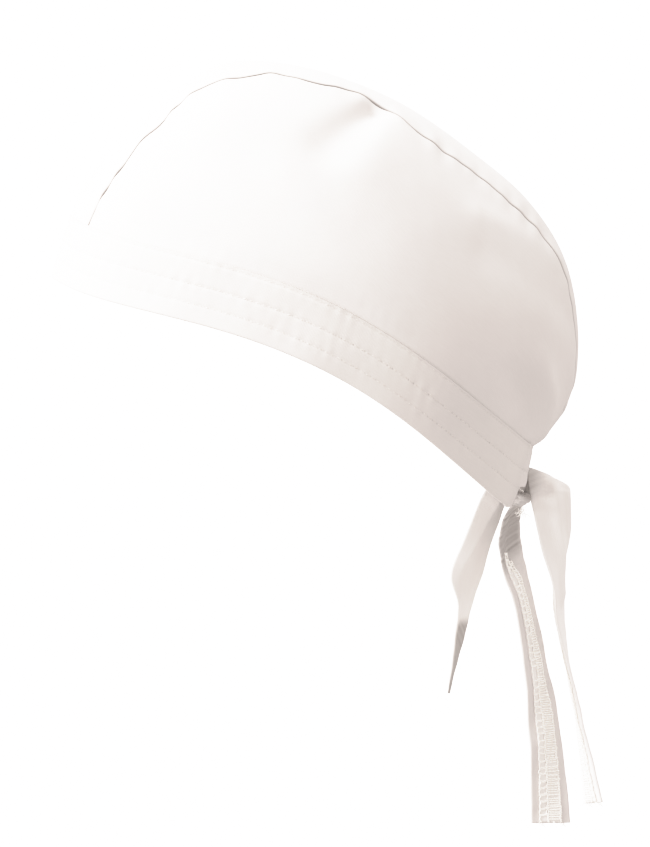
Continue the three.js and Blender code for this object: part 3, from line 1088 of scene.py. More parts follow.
@dataclass
class Crown:
    """The two side panels and the centre strip, sewn together in plain seams."""

    material: Material
    panel_stations: int = 320
    panel_columns: int = 100
    panel_samples: int = 260
    strip_stations: int = 430
    cloth: float = 0.8
    seam_gap: float = 0.10
    seam_sink: float = 1.2
    seam_roll: float = 0.42
    painted_seam_shade_reach: float = 0.70
    seam_pucker: float = 0.42
    seam_pucker_reach: float = 7.5
    foot_pucker: float = 0.10
    foot_pucker_reach: float = 6.0
    foot_hold: tuple[float, float] = (-1.0, 9.0)
    slack: float = 0.55
    tuck: tuple[float, ...] = (0.5, 1.2, 2.4, 4.5)
    tuck_depth: float = 0.9
    short_column: float = 14.0
    short_half: float = 12.0
    near_seam: tuple[float, ...] = (0.0, 0.1, 0.2, 0.32, 0.46, 0.64, 0.9, 1.5, 2.6, 4.2)
    waves: SoftWaves = field(default_factory=lambda: SoftWaves(11, 38, 85))
    ripples: dict[Side, Ripple] = field(
        default_factory=lambda: {Side.LEFT: Ripple(21, 9, 19), Side.RIGHT: Ripple(22, 9, 19)}
    )
    foot_ripple: Ripple = field(default_factory=lambda: Ripple(23, 6, 13))

    def build(self) -> None:
        """Makes the three pieces of the crown."""
        left, right, strip = self.panel(Side.LEFT), self.panel(Side.RIGHT), self.strip()

    def seam_distance(self, side: Side) -> tuple[Array, Array]:
        """Distance along a long seam from the front, at stations.

        Args:
            side: the side of the hat.

        Returns:
            The stations and the distances.
        """
        at = np.linspace(0, 1, 600)
        line = SHAPE.arch(at, SHAPE.arch_angle(at, SHAPE.strip_half(at, side)))
        return at, travelled(line, 0)

    def lift(
        self, points: Array, at: Array, side: Side, from_seam: Array, from_foot: Array
    ) -> Array:
        """How far the cloth stands out from the plain arch.

        Args:
            points: points on the arch, in the rim frame, on their own side.
            at: their stations.
            side: the side of the hat.
            from_seam: distance from the long seam.
            from_foot: distance from the band's top edge.

        Returns:
            Heights along the arch's normal.
        """
        stations, distance = self.seam_distance(side)
        run = np.interp(at, stations, distance)
        seam = self.ripples[side](run) * self.seam_pucker * bump(from_seam, self.seam_pucker_reach)
        foot = self.foot_ripple(run) * self.foot_pucker * bump(from_foot, self.foot_pucker_reach)
        sink = self.seam_sink * np.exp(-((from_seam / self.seam_roll) ** 1.3))
        sink = sink * self.seam_strength(at)
        lift = SHAPE.folds(points) + self.waves(points) * self.slack + seam + foot - sink
        # the band holds the cloth's foot nearly flat
        return lift * (smooth_step(*self.foot_hold, from_foot) * 0.95 + 0.05)

    def face(
        self, at: Array, angle: Array, side: Side, from_seam: Array, from_foot: Array | None = None
    ) -> tuple[Array, Array]:
        """The cloth's outer face.

        Args:
            at: stations.
            angle: angles on the arch.
            side: the side of the hat.
            from_seam: distance from the long seam.
            from_foot: distance from the band's top edge, if it isn't the one along the line.

        Returns:
            Points and normals in the rim frame.
        """
        point = mirrored(SHAPE.arch(at, angle), side.value)
        normal = mirrored(SHAPE.arch_normal(at, angle), side.value)
        if from_foot is None:
            run = travelled(point, 0)
            from_foot = np.minimum(run, run[-1] - run)
        lift = self.lift(point, at, side, from_seam, from_foot)
        return point + normal * lift[..., None], normal

    def seam_strength(self, at: Array) -> Array:
        """How deep the long seams are drawn in and how strong their painted shade is, by station:
        most at the front.
        """
        return np.interp(at, (0.0, 0.42, 0.60, 1.0), (1.0, 1.0, 0.60, 0.45))

    def painted_seam_shade(self, at: Array, from_seam: Array) -> Array:
        """Painted shade of the cloth beside a long seam, 0 to 1."""
        strength = self.seam_strength(at)
        return np.sqrt(strength) * bump(from_seam, self.painted_seam_shade_reach * strength)

    def tucked(self, at: Array, side: Side, depth: Array) -> Array:
        """Points of the cloth below the band's top edge, between the band's two layers.

        Args:
            at: stations.
            side: the side of the hat.
            depth: distances below the edge.

        Returns:
            Points in the rim frame.
        """
        foot = SHAPE.band_top(at)
        inwards = -SHAPE.band_normal(at, np.ones_like(at), BAND_END)
        sunk = self.tuck_depth * smooth_step(0.0, 1.6, depth)
        point = foot - SHAPE.band_upwards(at) * depth[..., None] + inwards * sunk[..., None]
        return mirrored(point, side.value)

    def panel(self, side: Side) -> Piece:
        """One side panel, a lens of cloth from the long seam down to the band.

        Args:
            side: the side of the hat.

        Returns:
            The object.
        """
        first, last = SHAPE.stations_of(lambda at: SHAPE.strip_half(at, side))
        at = np.linspace(first, last, self.panel_stations)
        edge = SHAPE.strip_half(at, side) + self.seam_gap / 2
        top_angle = SHAPE.arch_angle(at, edge)
        angles = top_angle[:, None] * (1 - np.linspace(0, 1, self.panel_samples))
        length = travelled(SHAPE.arch(at[:, None], angles), 1)
        near = np.array(self.near_seam)
        columns = []
        for angle_row, length_row in zip(angles, length):
            close = near * min(1.0, length_row[-1] / self.short_column)
            rest = np.linspace(close[-1], length_row[-1], self.panel_columns - len(near) + 1)[1:]
            wanted = np.concatenate([close, rest])
            columns.append((np.interp(wanted, length_row, angle_row), wanted))
        angle, from_seam = np.array(columns).swapaxes(0, 1)
        stations = np.broadcast_to(at[:, None], angle.shape)
        outer, normal = self.face(stations, angle, side, from_seam, from_seam[:, -1:] - from_seam)
        inner = outer - normal * self.cloth
        tuck_at = np.broadcast_to(at[:, None], (len(at), len(self.tuck)))
        hidden = self.tucked(tuck_at, side, np.broadcast_to(np.array(self.tuck), tuck_at.shape))
        inner = np.concatenate([inner, hidden - (outer[:, -1:] - inner[:, -1:])], axis=1)
        outer = np.concatenate([outer, hidden], axis=1)
        # painted shade beside the long seam; the tucked points get none
        seam = np.zeros(outer.shape[:2])
        seam[:, : from_seam.shape[1]] = self.painted_seam_shade(stations, from_seam)
        return self.sewn(f"crown_{side.name.lower()}", outer, inner, seam)

    def sewn(self, node: str, outer: Array, inner: Array, seam: Array) -> Piece:
        """A finished piece that stands for one CAD node, from its two faces."""
        sheet = walled(SHAPE.world(outer), SHAPE.world(inner), self.flat_places(outer), seam)
        return finished(sheet.object(f"{node}_cloth"), self.material, [node])

    def strip(self) -> Piece:
        """The centre strip, from the band at the front over the crown to the band at the back.

        Returns:
            The object.
        """
        near = self.near_seam
        columns = [(d, 1.0) for d in near]
        columns += [(near[-1], float(1 - share)) for share in np.linspace(0, 1, 18)[1:]]
        places = [(Side.RIGHT, *column) for column in columns]
        places += [(Side.LEFT, *column) for column in columns[-2::-1]]
        made = [self._strip_column(*place) for place in places]
        # shade holds the painted shade beside the long seams
        outer, normal, shade, front, back = (np.stack(parts, axis=1) for parts in zip(*made))
        inner = outer - normal * self.cloth
        wall_front, wall_back = outer[:1] - inner[:1], outer[-1:] - inner[-1:]
        inner = np.concatenate([front - wall_front, inner, back - wall_back])
        outer = np.concatenate([front, outer, back])
        return self.sewn("crown_strip", outer, inner, np.pad(shade, ((4, 4), (0, 0))))

    def _strip_column(self, side: Side, distance: float, share: float) -> tuple[Array, ...]:
        """One lengthwise line of the strip.

        Args:
            side: the side of the hat.
            distance: distance from the long seam of the line's start.
            share: 1 at that distance, 0 at the centre line.

        Returns:
            Outer points, normals, painted shade, and the points tucked under the band at each end.
        """

        def across(at: Array) -> Array:
            """Distance of the line from the centre line."""
            half = SHAPE.strip_half(at, side) - self.seam_gap / 2
            return (half - distance * np.minimum(1.0, half / self.short_half)) * share

        first, last = SHAPE.stations_of(across) if share > 0 else (0.0, 1.0)
        at = np.linspace(first, last, self.strip_stations)
        x = across(at)
        from_seam = SHAPE.strip_half(at, side) - self.seam_gap / 2 - x
        outer, normal = self.face(at, SHAPE.arch_angle(at, x), side, from_seam)
        depth = np.array(self.tuck)
        front = self.tucked(np.full(len(depth), first), side, depth)[::-1]
        back = self.tucked(np.full(len(depth), last), side, depth)
        return outer, normal, self.painted_seam_shade(at, from_seam), front, back

    @staticmethod
    def flat_places(points: Array) -> Array:
        """Place on the flat cloth, from distances along the grid's middle lines.

        Args:
            points: rows by columns of points.

        Returns:
            Rows by columns by 2, in millimetres.
        """
        rows, columns = points.shape[:2]
        along = travelled(points, 0)[:, columns // 2]
        across = travelled(points, 1)
        middle = across[:, -1:] / 2
        return np.stack([np.broadcast_to(along[:, None], (rows, columns)), across - middle], -1)


# ---- Headband ----


@dataclass
class Headband:
    """A band folded double over the crown's edge, with three rows of lockstitch."""

    material: Material
    thread: Material
    stations: int = 640
    course_stations: int = 1600
    proud: float = 0.6
    wall: float = 2.1
    stitch_pitch: float = 2.8
    stitch_share: float = 0.70
    stitch_proud: float = 0.02
    bare_ends: float = 8.0
    rows_below_top: tuple[float, ...] = (0.9, 11.0, 19.0)
    row_sink: tuple[float, ...] = (0.26, 0.22, 0.16)
    row_width: float = 0.6
    # how strong the painted shade at each row's needle holes is
    row_hole_shade: tuple[float, ...] = (0.08, 0.34, 0.20)
    # painted shade along the fold of the top edge, for the shadow where the band meets the crown
    painted_edge_shade: float = 0.30
    edge_round: float = 0.55
    end_crease_at: float = 0.900
    end_crease: float = 0.55
    end_crease_width: float = 0.006
    row_stagger: tuple[float, ...] = (0.06, 0.20, 0.10)
    puff: float = 0.08
    puff_over: float = 4.0
    pucker: float = 0.09
    pucker_reach: float = 3.4
    slack: float = 0.35
    face_points: int = 46
    waves: SoftWaves = field(default_factory=lambda: SoftWaves(31, 26, 60))
    ripples: tuple[Ripple, ...] = field(
        default_factory=lambda: (Ripple(32, 4.2, 8.5), Ripple(33, 4.2, 9.0), Ripple(34, 4.5, 10.0))
    )

    def build(self) -> None:
        """Makes the band and its stitches."""
        band = self.band()
        self.stitches()

    @cached_property
    def course(self) -> tuple[Array, Array]:
        """Distances round the band from its right end, and stations (under 0 on the right).

        Returns:
            The distances and the stations.
        """
        station = np.linspace(-BAND_END, BAND_END, self.course_stations)
        points = mirrored(SHAPE.band(np.abs(station), 0.6), np.sign(station))
        return travelled(points, 0), station

    def place(self, run: Array) -> tuple[Array, Array]:
        """Stations and sides at distances round the band from its right end."""
        signed = np.interp(run, *self.course)
        return np.abs(signed), np.where(signed < 0, -1.0, 1.0)

    def height(self, at: Array) -> Array:
        """Height of the band's face."""
        return np.linalg.norm(SHAPE.band(at, 1.0) - SHAPE.band(at, 0.0), axis=-1)

    def relief(self, run: Array, below: Array) -> Array:
        """How far the outer face stands out, from its rows of stitches and the slack between.

        Args:
            run: distance round the band.
            below: distance below the top edge.

        Returns:
            Heights over the plain face.
        """
        height = np.zeros(np.broadcast(run, below).shape)
        edges = (0.0, *self.rows_below_top, BAND_HEIGHT)
        for start, end in zip(edges, edges[1:]):
            middle = np.clip((below - start) / (end - start), 0, 1)
            wide = end - start > self.puff_over
            height = height + self.puff * (4 * middle * (1 - middle)) * wide
        for row, sink, ripple in zip(self.rows_below_top, self.row_sink, self.ripples):
            height = height - sink * bump(below - row, self.row_width)
            height = height + self.pucker * ripple(run) * bump(below - row, self.pucker_reach)
        at, _ = self.place(run)
        return height + self.end_crease * bump(at - self.end_crease_at, self.end_crease_width)

    def surface(self, run: Array, below: Array, proud: float = 0.0) -> tuple[Array, Array]:
        """Points and normals of the band's outer face.

        Args:
            run: distance round the band from its right end.
            below: distance below the top edge.
            proud: how far the points stand over the face.

        Returns:
            Points and normals in the rim frame.
        """
        run, below = together(run, below)
        at, side = self.place(run)
        share = 1 - below / self.height(at)
        normal = mirrored(SHAPE.band_normal(at, share, BAND_END), side)
        point = mirrored(SHAPE.band(at, share), side)
        lift = self.proud + self.relief(run, below) + self.waves(point) * self.slack + proud
        return point + normal * lift[..., None], normal

    def band(self) -> Piece:
        """The band itself: a flat tube with a rounded fold along each edge.

        Returns:
            The object.
        """
        run = np.linspace(0, self.course[0][-1], self.stations)[:, None]
        at, _ = self.place(run)
        tall, upwards = self.height(at), SHAPE.band_upwards(at)
        fold = np.linspace(0, math.pi, 8)[1:-1]
        half = self.wall / 2
        # share up the band, depth behind its face, rise over the edge, and painted shade
        profile = [(share, 0.0, 0.0, 0.0) for share in np.linspace(0, 1, self.face_points)]
        # the fold over the top edge gets painted shade
        for a in fold:
            back, rise = half * (1 - math.cos(a)), self.edge_round * math.sin(a)
            profile.append((1.0, back, rise, self.painted_edge_shade))
        profile += [(share, self.wall, 0.0, 0.0) for share in np.linspace(1, 0, 14)]
        for a in fold:
            profile.append((0.0, half * (1 + math.cos(a)), -self.edge_round * math.sin(a), 0.0))
        rings, flats, painted_shades = [], [], []
        for share, back, rise, shade in profile:
            below = tall * (1 - share)
            point, normal = self.surface(run, below)
            rings.append(point - normal * back + upwards * rise)
            flats.append(np.stack([np.broadcast_to(run, below.shape), BAND_HEIGHT - below], -1))
            painted_shades.append(np.full(below.shape, shade))
        rings, flats, painted_shades = (np.concatenate(part, axis=1) for part in (rings, flats, painted_shades))
        piece = tube(SHAPE.world(rings), flats, painted_shades).object("headband_cloth")
        return finished(piece, self.material, ["headband"])

    def stitches(self) -> Piece:
        """The visible stitches of all rows: one stitch, copied along each row.

        Returns:
            The object.
        """
        stitch = ThreadStitch(self.stitch_share * self.stitch_pitch, radius=0.17).shape()
        dice = np.random.default_rng(41)
        count = int((self.course[0][-1] - self.bare_ends) / self.stitch_pitch)
        # each stitch lies between two needle holes, which are half a pitch past whole ones
        run = self.stitch_pitch * (np.arange(count) + 2.0)
        made = []
        for row, stagger in zip(self.rows_below_top, self.row_stagger):
            below = row + dice.normal(0, stagger * 0.6, count)
            point, normal = self.surface(run, below, self.stitch_proud)
            below = below + dice.normal(0, stagger, count)
            ahead, _ = self.surface(run + 0.6, below, self.stitch_proud)
            made.append((point, unit(ahead - point), normal))
        points, along, out = (np.concatenate(parts) for parts in zip(*made))
        turned = SHAPE.turned(along), SHAPE.turned(out)
        piece = repeated("headband_stitches", stitch, SHAPE.world(points), *turned)
        return finished(piece, self.thread)


# ---- Stitches and threads ----


@dataclass
class ThreadStitch:
    """One stitch as it shows on the cloth: a short thread that dives in at both ends."""

    length: float
    radius: float

    def shape(self) -> Solid:
        """Models the stitch and returns its points in millimetres, and its faces.

        Returns:
            Points with X along the stitch and Z out of the cloth, and faces.
        """
        deselect_all()
        bpy.ops.mesh.primitive_cylinder_add(
            vertices=6, radius=1.0, depth=2.0, end_fill_type="TRIFAN", rotation=(0, math.pi / 2, 0)
        )
        piece = bpy.context.active_object
        bpy.ops.object.transform_apply(location=False, rotation=True, scale=True)
        bpy.ops.object.mode_set(mode="EDIT")
        for place in (-0.5, 0.0, 0.5):
            bpy.ops.mesh.select_all(action="SELECT")
            bpy.ops.mesh.bisect(plane_co=(place, 0, 0), plane_no=(1, 0, 0))
        bpy.ops.object.mode_set(mode="OBJECT")
        points = np.array([v.co[:] for v in piece.data.vertices])
        faces = [tuple(p.vertices) for p in piece.data.polygons]
        bpy.data.objects.remove(piece)
        thin = 1 - 0.45 * np.abs(points[:, 0]) ** 2
        dive = -1.3 * self.radius * np.abs(points[:, 0]) ** 3
        points[:, 1] *= thin * self.radius
        points[:, 2] = points[:, 2] * thin * self.radius + dive
        points[:, 0] *= self.length / 2
        return points, faces


def repeated(name: str, shape: Solid, places: Array, along: Array, out: Array) -> Piece:
    """Copies one small shape to many places, as one piece.

    Args:
        name: the piece's name.
        shape: its points and faces, with X along it and Z out of the cloth.
        places: middle of each copy, in world millimetres.
        along: each copy's X direction.
        out: each copy's Z direction, roughly.

    Returns:
        The object.
    """
    points, faces = shape
    across = unit(np.cross(out, along))
    upwards = np.cross(along, across)
    axes = np.stack([along, across, upwards], axis=1)
    copies = np.einsum("vi,nij->nvj", points, axes) + places[:, None]
    start = np.arange(len(places)) * len(points)
    all_faces = [tuple(int(s + i) for i in face) for s in start for face in faces]
    mesh = bpy.data.meshes.new(name)
    mesh.from_pydata((copies.reshape(-1, 3) * MM).tolist(), [], all_faces)
    mesh.polygons.foreach_set("use_smooth", [True] * len(mesh.polygons))
    return linked(name, mesh)


def threads(name: str, lines: ThreadLines, radius: float, sides: int = 2) -> Piece:
    """Thin threads along lines of points, as one closed mesh.

    Args:
        name: the piece's name.
        lines: lines of points, in world millimetres.
        radius: the thread's radius in millimetres.
        sides: the curve's bevel resolution.

    Returns:
        The object.
    """
    data = bpy.data.curves.new(name, "CURVE")
    data.dimensions = "3D"
    data.bevel_depth = radius * MM
    data.bevel_resolution = sides
    data.use_fill_caps = True
    for line in lines:
        spline = data.splines.new("POLY")
        spline.points.add(len(line) - 1)
        flat = np.concatenate([line * MM, np.ones((len(line), 1))], axis=1)
        spline.points.foreach_set("co", flat.ravel())
    made = linked(name, data)
    deselect_all()
    bpy.context.view_layer.objects.active = made
    made.select_set(True)
    bpy.ops.object.convert(target="MESH")
    made = bpy.context.active_object
    made.data.polygons.foreach_set("use_smooth", [True] * len(made.data.polygons))
    return made


# ---- Ties and tail ----


class Pleat(NamedTuple):
    """A lengthwise fold or hollow of a ribbon."""

    share: float
    width: float
    depth: float
    start: float
    end: float


@dataclass
class Ribbon:
    """A flat strip of doubled cloth that hangs from the knot along a table of sections."""

    name: str
    rows: tuple[RibbonRow, ...]
    material: Material
    slot: str
    node: str
    flat: tuple[float, float]
    wall: float = 1.3
    stations: int = 260
    face_points: int = 28
    ripple_seed: int = 51
    wrinkles: tuple[tuple[float, float], ...] = ((7, 16), (22, 48), (2.4, 5.5))
    leaves_mm: tuple[float, float] = (4.0, 20.0)
    wrinkle: float = 0.25
    keel: float = 0.0
    keel_share: tuple[float, float] = (0.0, 0.0)
    knot_wrinkle: float = 0.2
    # painted shade: how dark, between which distances along, over which shares across, and how
    # streaky
    painted_roll_shade: float = 0.0
    painted_shade_mm: tuple[float, float] = (3.0, 26.0)
    painted_shade_share: tuple[float, float] = (1.0, 0.55)
    painted_shade_streak: float = 0.35
    hump: float = 0.0
    hump_at: float = 0.13
    hump_width: float = 0.06
    keel_until: float = 1.0
    pleats: tuple[Pleat, ...] = ()

    def start(self) -> Array:
        """Where the ribbons leave the tied lump, in the world frame."""
        return SHAPE.world(np.array(RIBBON_START))

    def centre(self, at: Array) -> Array:
        """Points on the ribbon's middle line."""
        parts = [curve(self.rows, column, at) for column in ("side", "back", "up")]
        return xyz(*parts) + self.start()

    def axes(self, at: Array) -> tuple[Array, Array, Array]:
        """Directions across, square to and along the ribbon.

        Args:
            at: stations.

        Returns:
            Three sets of unit vectors in the world frame.
        """
        turn = np.radians(curve(self.rows, "turn", at))
        lean = np.radians(curve(self.rows, "lean", at))
        across = xyz(np.sin(turn) * np.cos(lean), np.cos(turn) * np.cos(lean), np.sin(lean))
        onwards = self.centre(np.minimum(at + STEP, 1)) - self.centre(np.maximum(at - STEP, 0))
        onwards = unit(onwards)
        return across, unit(np.cross(onwards, across)), onwards

    @cached_property
    def length(self) -> tuple[Array, Array]:
        """Stations and the distances along the middle line at them."""
        at = np.linspace(0, 1, 500)
        return at, travelled(self.centre(at), 0)

    def distance_at(self, at: Array) -> Array:
        """Distances along the middle line at stations."""
        return np.interp(at, *self.length)

    def stations_at(self, distance: Array) -> Array:
        """Stations at distances along the middle line."""
        return np.interp(distance, *self.length[::-1])

    def relief(self, at: Array, share: Array) -> Array:
        """How far the ribbon bends out of its plane: cross wrinkles and a lengthwise keel.

        Args:
            at: stations.
            share: places across, -1 to 1.

        Returns:
            Heights along the ribbon's normal.
        """
        distance = self.distance_at(at)
        seeds = range(self.ripple_seed, self.ripple_seed + len(self.wrinkles))
        cross, slow, fine = (Ripple(seed, *size) for seed, size in zip(seeds, self.wrinkles))
        free = smooth_step(*self.leaves_mm, distance)
        tight = 0.25 + 0.75 * bump(distance - 14, 16)
        height = self.wrinkle * tight * cross(distance + 5 * share)
        height = height + 0.5 * slow(distance + 12 * share) * free
        line = self.keel_share[0] + (self.keel_share[1] - self.keel_share[0]) * at
        kept = free * (1 - smooth_step(self.keel_until - 0.2, self.keel_until, at))
        height = height + self.keel * (1 - np.abs(share - line)) * kept
        near_knot = smooth_step(2, 8, distance) * (1 - smooth_step(18, 32, distance))
        near_knot = near_knot * (1 - 0.9 * share**4)
        height = height + self.knot_wrinkle * near_knot * fine(distance + 3.5 * share)
        for pleat in self.pleats:
            shown = smooth_step(pleat.start, pleat.start + 5, distance)
            shown = shown * (1 - smooth_step(pleat.end - 8, pleat.end, distance))
            height = height + pleat.depth * shown * bump(share - pleat.share, pleat.width)
        return height

    def point(self, at: Array, share: Array, out: Array) -> Array:
        """Points of the ribbon: share runs -1 to 1 across it, and out stands off its middle.

        Args:
            at: stations.
            share: places across, -1 to 1.
            out: distances off the middle of the cloth.

        Returns:
            Points in the world frame.
        """
        at, share, out = together(at, share, out)
        across, normal, _ = self.axes(at)
        half = curve(self.rows, "half", at)
        lift = out + self.relief(at, share)
        point = self.centre(at) + across * (share * half)[..., None] + normal * lift[..., None]
        point[..., 2] += self.hump * (1 - share**2) * bump(at - self.hump_at, self.hump_width)
        return point

    def painted_ribbon_shade(self, at: Array, share: Array) -> Array:
        """Painted shade of points, 0 to 1: streaky, from one distance along the ribbon to another
        and over part of its width.

        Args:
            at: stations.
            share: places across, -1 to 1.

        Returns:
            Painted shade, 0 to 1.
        """
        distance = self.distance_at(at)
        start, end = self.painted_shade_mm
        near = smooth_step(start - 3, start + 2, distance)
        near = near * (1 - smooth_step(end - 6 - 5 * share, end + 2 - 5 * share, distance))
        finest = Ripple(self.ripple_seed + 4, 1.6, 4.0)
        streak = 0.75 + self.painted_shade_streak * finest(distance + 4 * share)
        return np.clip(self.painted_roll_shade * near * streak, 0, 1) * smooth_step(*self.painted_shade_share, share)

    def build(self) -> Piece:
        """Makes the ribbon: a flat tube with rounded folds along its edges.

        Returns:
            The object.
        """
        at = self.stations_at(np.linspace(0, self.length[1][-1], self.stations))[:, None]
        half_wall = self.wall / 2
        half = np.maximum(curve(self.rows, "half", at), 0.3)
        inset = np.minimum(half_wall / half, 0.5)
        arc = np.linspace(-math.pi / 2, math.pi / 2, 7)[1:-1][None]
        over = np.linspace(-1, 1, self.face_points)[None]
        flat, edge, one = over * (1 - inset), 1 - inset + inset * np.cos(arc), np.ones_like(over)
        shares = np.concatenate([flat, edge, -flat, -edge], axis=1)
        outs = half_wall * np.concatenate([one, np.sin(-arc), -one, np.sin(arc)], axis=1)
        rings = self.point(at, shares, outs * np.minimum(half / 2.0, 1.0))
        along = np.broadcast_to(self.distance_at(at), shares.shape)
        flats = np.stack([along, shares * np.maximum(half, 1.0)], axis=-1)
        piece = tube(rings, flats, self.painted_ribbon_shade(at, shares)).object(self.name)
        return finished(piece, self.material, [self.node])


class OverlockedEdge(NamedTuple):
    """One raw edge of the seam: where it lies across the tie and where along it shows."""

    inside: float
    outside: float
    start: float
    loops_per_stitch: int


@dataclass
class OverlockedSeam:
    """The pressed-open seam down a tie's inner side, with both raw edges overlocked."""

    ribbon: Ribbon
    face: float
    thread: Material
    cloth: Material
    period: float = 2.9
    edges: tuple[OverlockedEdge, ...] = (
        OverlockedEdge(-1.5, -4.8, 22.0, 1),
        OverlockedEdge(-1.1, 4.4, 26.0, 3),
    )
    flap_wall: float = 0.35
    flap_stations: int = 150
    thread_radius: float = 0.25
    twin_slant: tuple[float, float] = (0.10, 0.22)
    wander: float = -1.6
    wander_mm: tuple[float, float] = (18.0, 55.0)
    spread_mm: tuple[float, float] = (35.0, 105.0)
    missed: float = 0.04
    seed: int = 61

    def spot(self, distance: Array, across: Array, out: Array) -> Array:
        """World points over the ribbon's seamed face, from millimetres along, across and out.

        Args:
            distance: distances along the tie.
            across: distances from its middle line.
            out: distances off its face.

        Returns:
            Points in the world frame.
        """
        near_knot = 1 - smooth_step(*self.wander_mm, distance)
        spread = 0.35 + 0.65 * smooth_step(*self.spread_mm, distance)
        across = np.where(across > 0, across * spread, across)
        share = np.clip((across + self.wander * near_knot) / TIE_HALF, -0.97, 0.97)
        off = self.face * (self.ribbon.wall / 2 + out)
        return self.ribbon.point(self.ribbon.stations_at(distance), share, off)

    def build(self) -> list[Piece]:
        """Makes the flaps and the threads.

        Returns:
            The pieces.
        """
        end = self.ribbon.length[1][-1] - 0.4
        flaps = [self.flap(index, edge, end) for index, edge in enumerate(self.edges)]
        return [*flaps, self.loops(end)]

    def flap(self, index: int, edge: OverlockedEdge, end: float) -> Piece:
        """One raw edge, pressed flat against the tie.

        Args:
            index: the edge's number.
            edge: the raw edge.
            end: distance along the tie at which it ends.

        Returns:
            The object.
        """
        low, high = sorted((edge.inside, edge.outside))
        distance = np.linspace(edge.start, end, self.flap_stations)[:, None]
        ripple = Ripple(self.seed + index, 5, 12)
        share = np.linspace(0, 1, 7)[None]
        across = low + (high - low) * share + 0.15 * ripple(distance)
        shown = smooth_step(edge.start, edge.start + 8, distance)
        lift = self.flap_wall * shown + 0.10 * np.abs(share - 0.5) * (1 + ripple(distance * 1.3))
        top = self.spot(distance, across, lift)
        bottom = self.spot(distance, across, -0.25 + 0 * lift)
        flat = np.stack(np.broadcast_arrays(distance, across), axis=-1)
        if self.face < 0:
            top, bottom = bottom, top
        piece = walled(top, bottom, flat).object(f"{self.ribbon.node}_seam_edge_{index + 1}")
        return finished(piece, self.cloth)

    def loops(self, end: float) -> Piece:
        """The looper threads over both raw edges and the needle line beside each.

        Args:
            end: distance along the tie at which the threads end.

        Returns:
            The object.
        """
        dice = np.random.default_rng(self.seed)
        lines = [line for edge in self.edges for line in self.edge_threads(edge, end, dice)]
        piece = threads(f"{self.ribbon.node}_overlock", lines, self.thread_radius, 1)
        return finished(piece, self.thread)

    def edge_threads(self, edge: OverlockedEdge, end: float, dice: Dice) -> ThreadLines:
        """Threads of one overlocked edge: a rail along each side and the rungs between them.

        Args:
            edge: the raw edge.
            end: distance along the tie at which the threads end.
            dice: source of unevenness.

        Returns:
            Lines of points.
        """
        made = []
        width = edge.outside - edge.inside
        pitch = self.period / edge.loops_per_stitch
        loose = Ripple(self.seed + 7 + edge.loops_per_stitch, 4.0, 11.0)
        for begin in np.arange(edge.start, end - 0.6 * pitch, pitch):
            if dice.random() < self.missed:
                continue
            share = np.linspace(-0.04, 1.04, 6)
            sag = 0.10 * pitch * np.sin(math.pi * share) + dice.normal(0, 0.07) * share * pitch
            out = self.flap_wall + 0.20 + 0.14 * np.sin(math.pi * share)
            across = edge.inside + width * share * dice.uniform(0.84, 1.08) + 0.25 * loose(begin)
            lean = dice.normal(0, 0.14) * share
            begin += dice.normal(0, 0.12)
            made.append(self.spot(begin + sag + lean, across, out))
            if edge.loops_per_stitch == 1:
                slant = pitch * dice.uniform(*self.twin_slant) * (0.6 + 0.4 * share)
                made.append(self.spot(begin + sag + lean + slant, across, out - 0.04))
        for share, wave in ((0.0, 0.12), (0.97, 0.32)):
            distance = np.arange(edge.start, end, pitch / 5)
            beat = np.sin(2 * math.pi * (distance - edge.start) / pitch)
            drift = wave * beat + 0.25 * loose(distance) + dice.normal(0, 0.06, len(distance))
            out = self.flap_wall + 0.18 + 0.16 * beat**2
            made.append(self.spot(distance, edge.inside + width * share + drift, out))
        return made


# ---- Knot ----


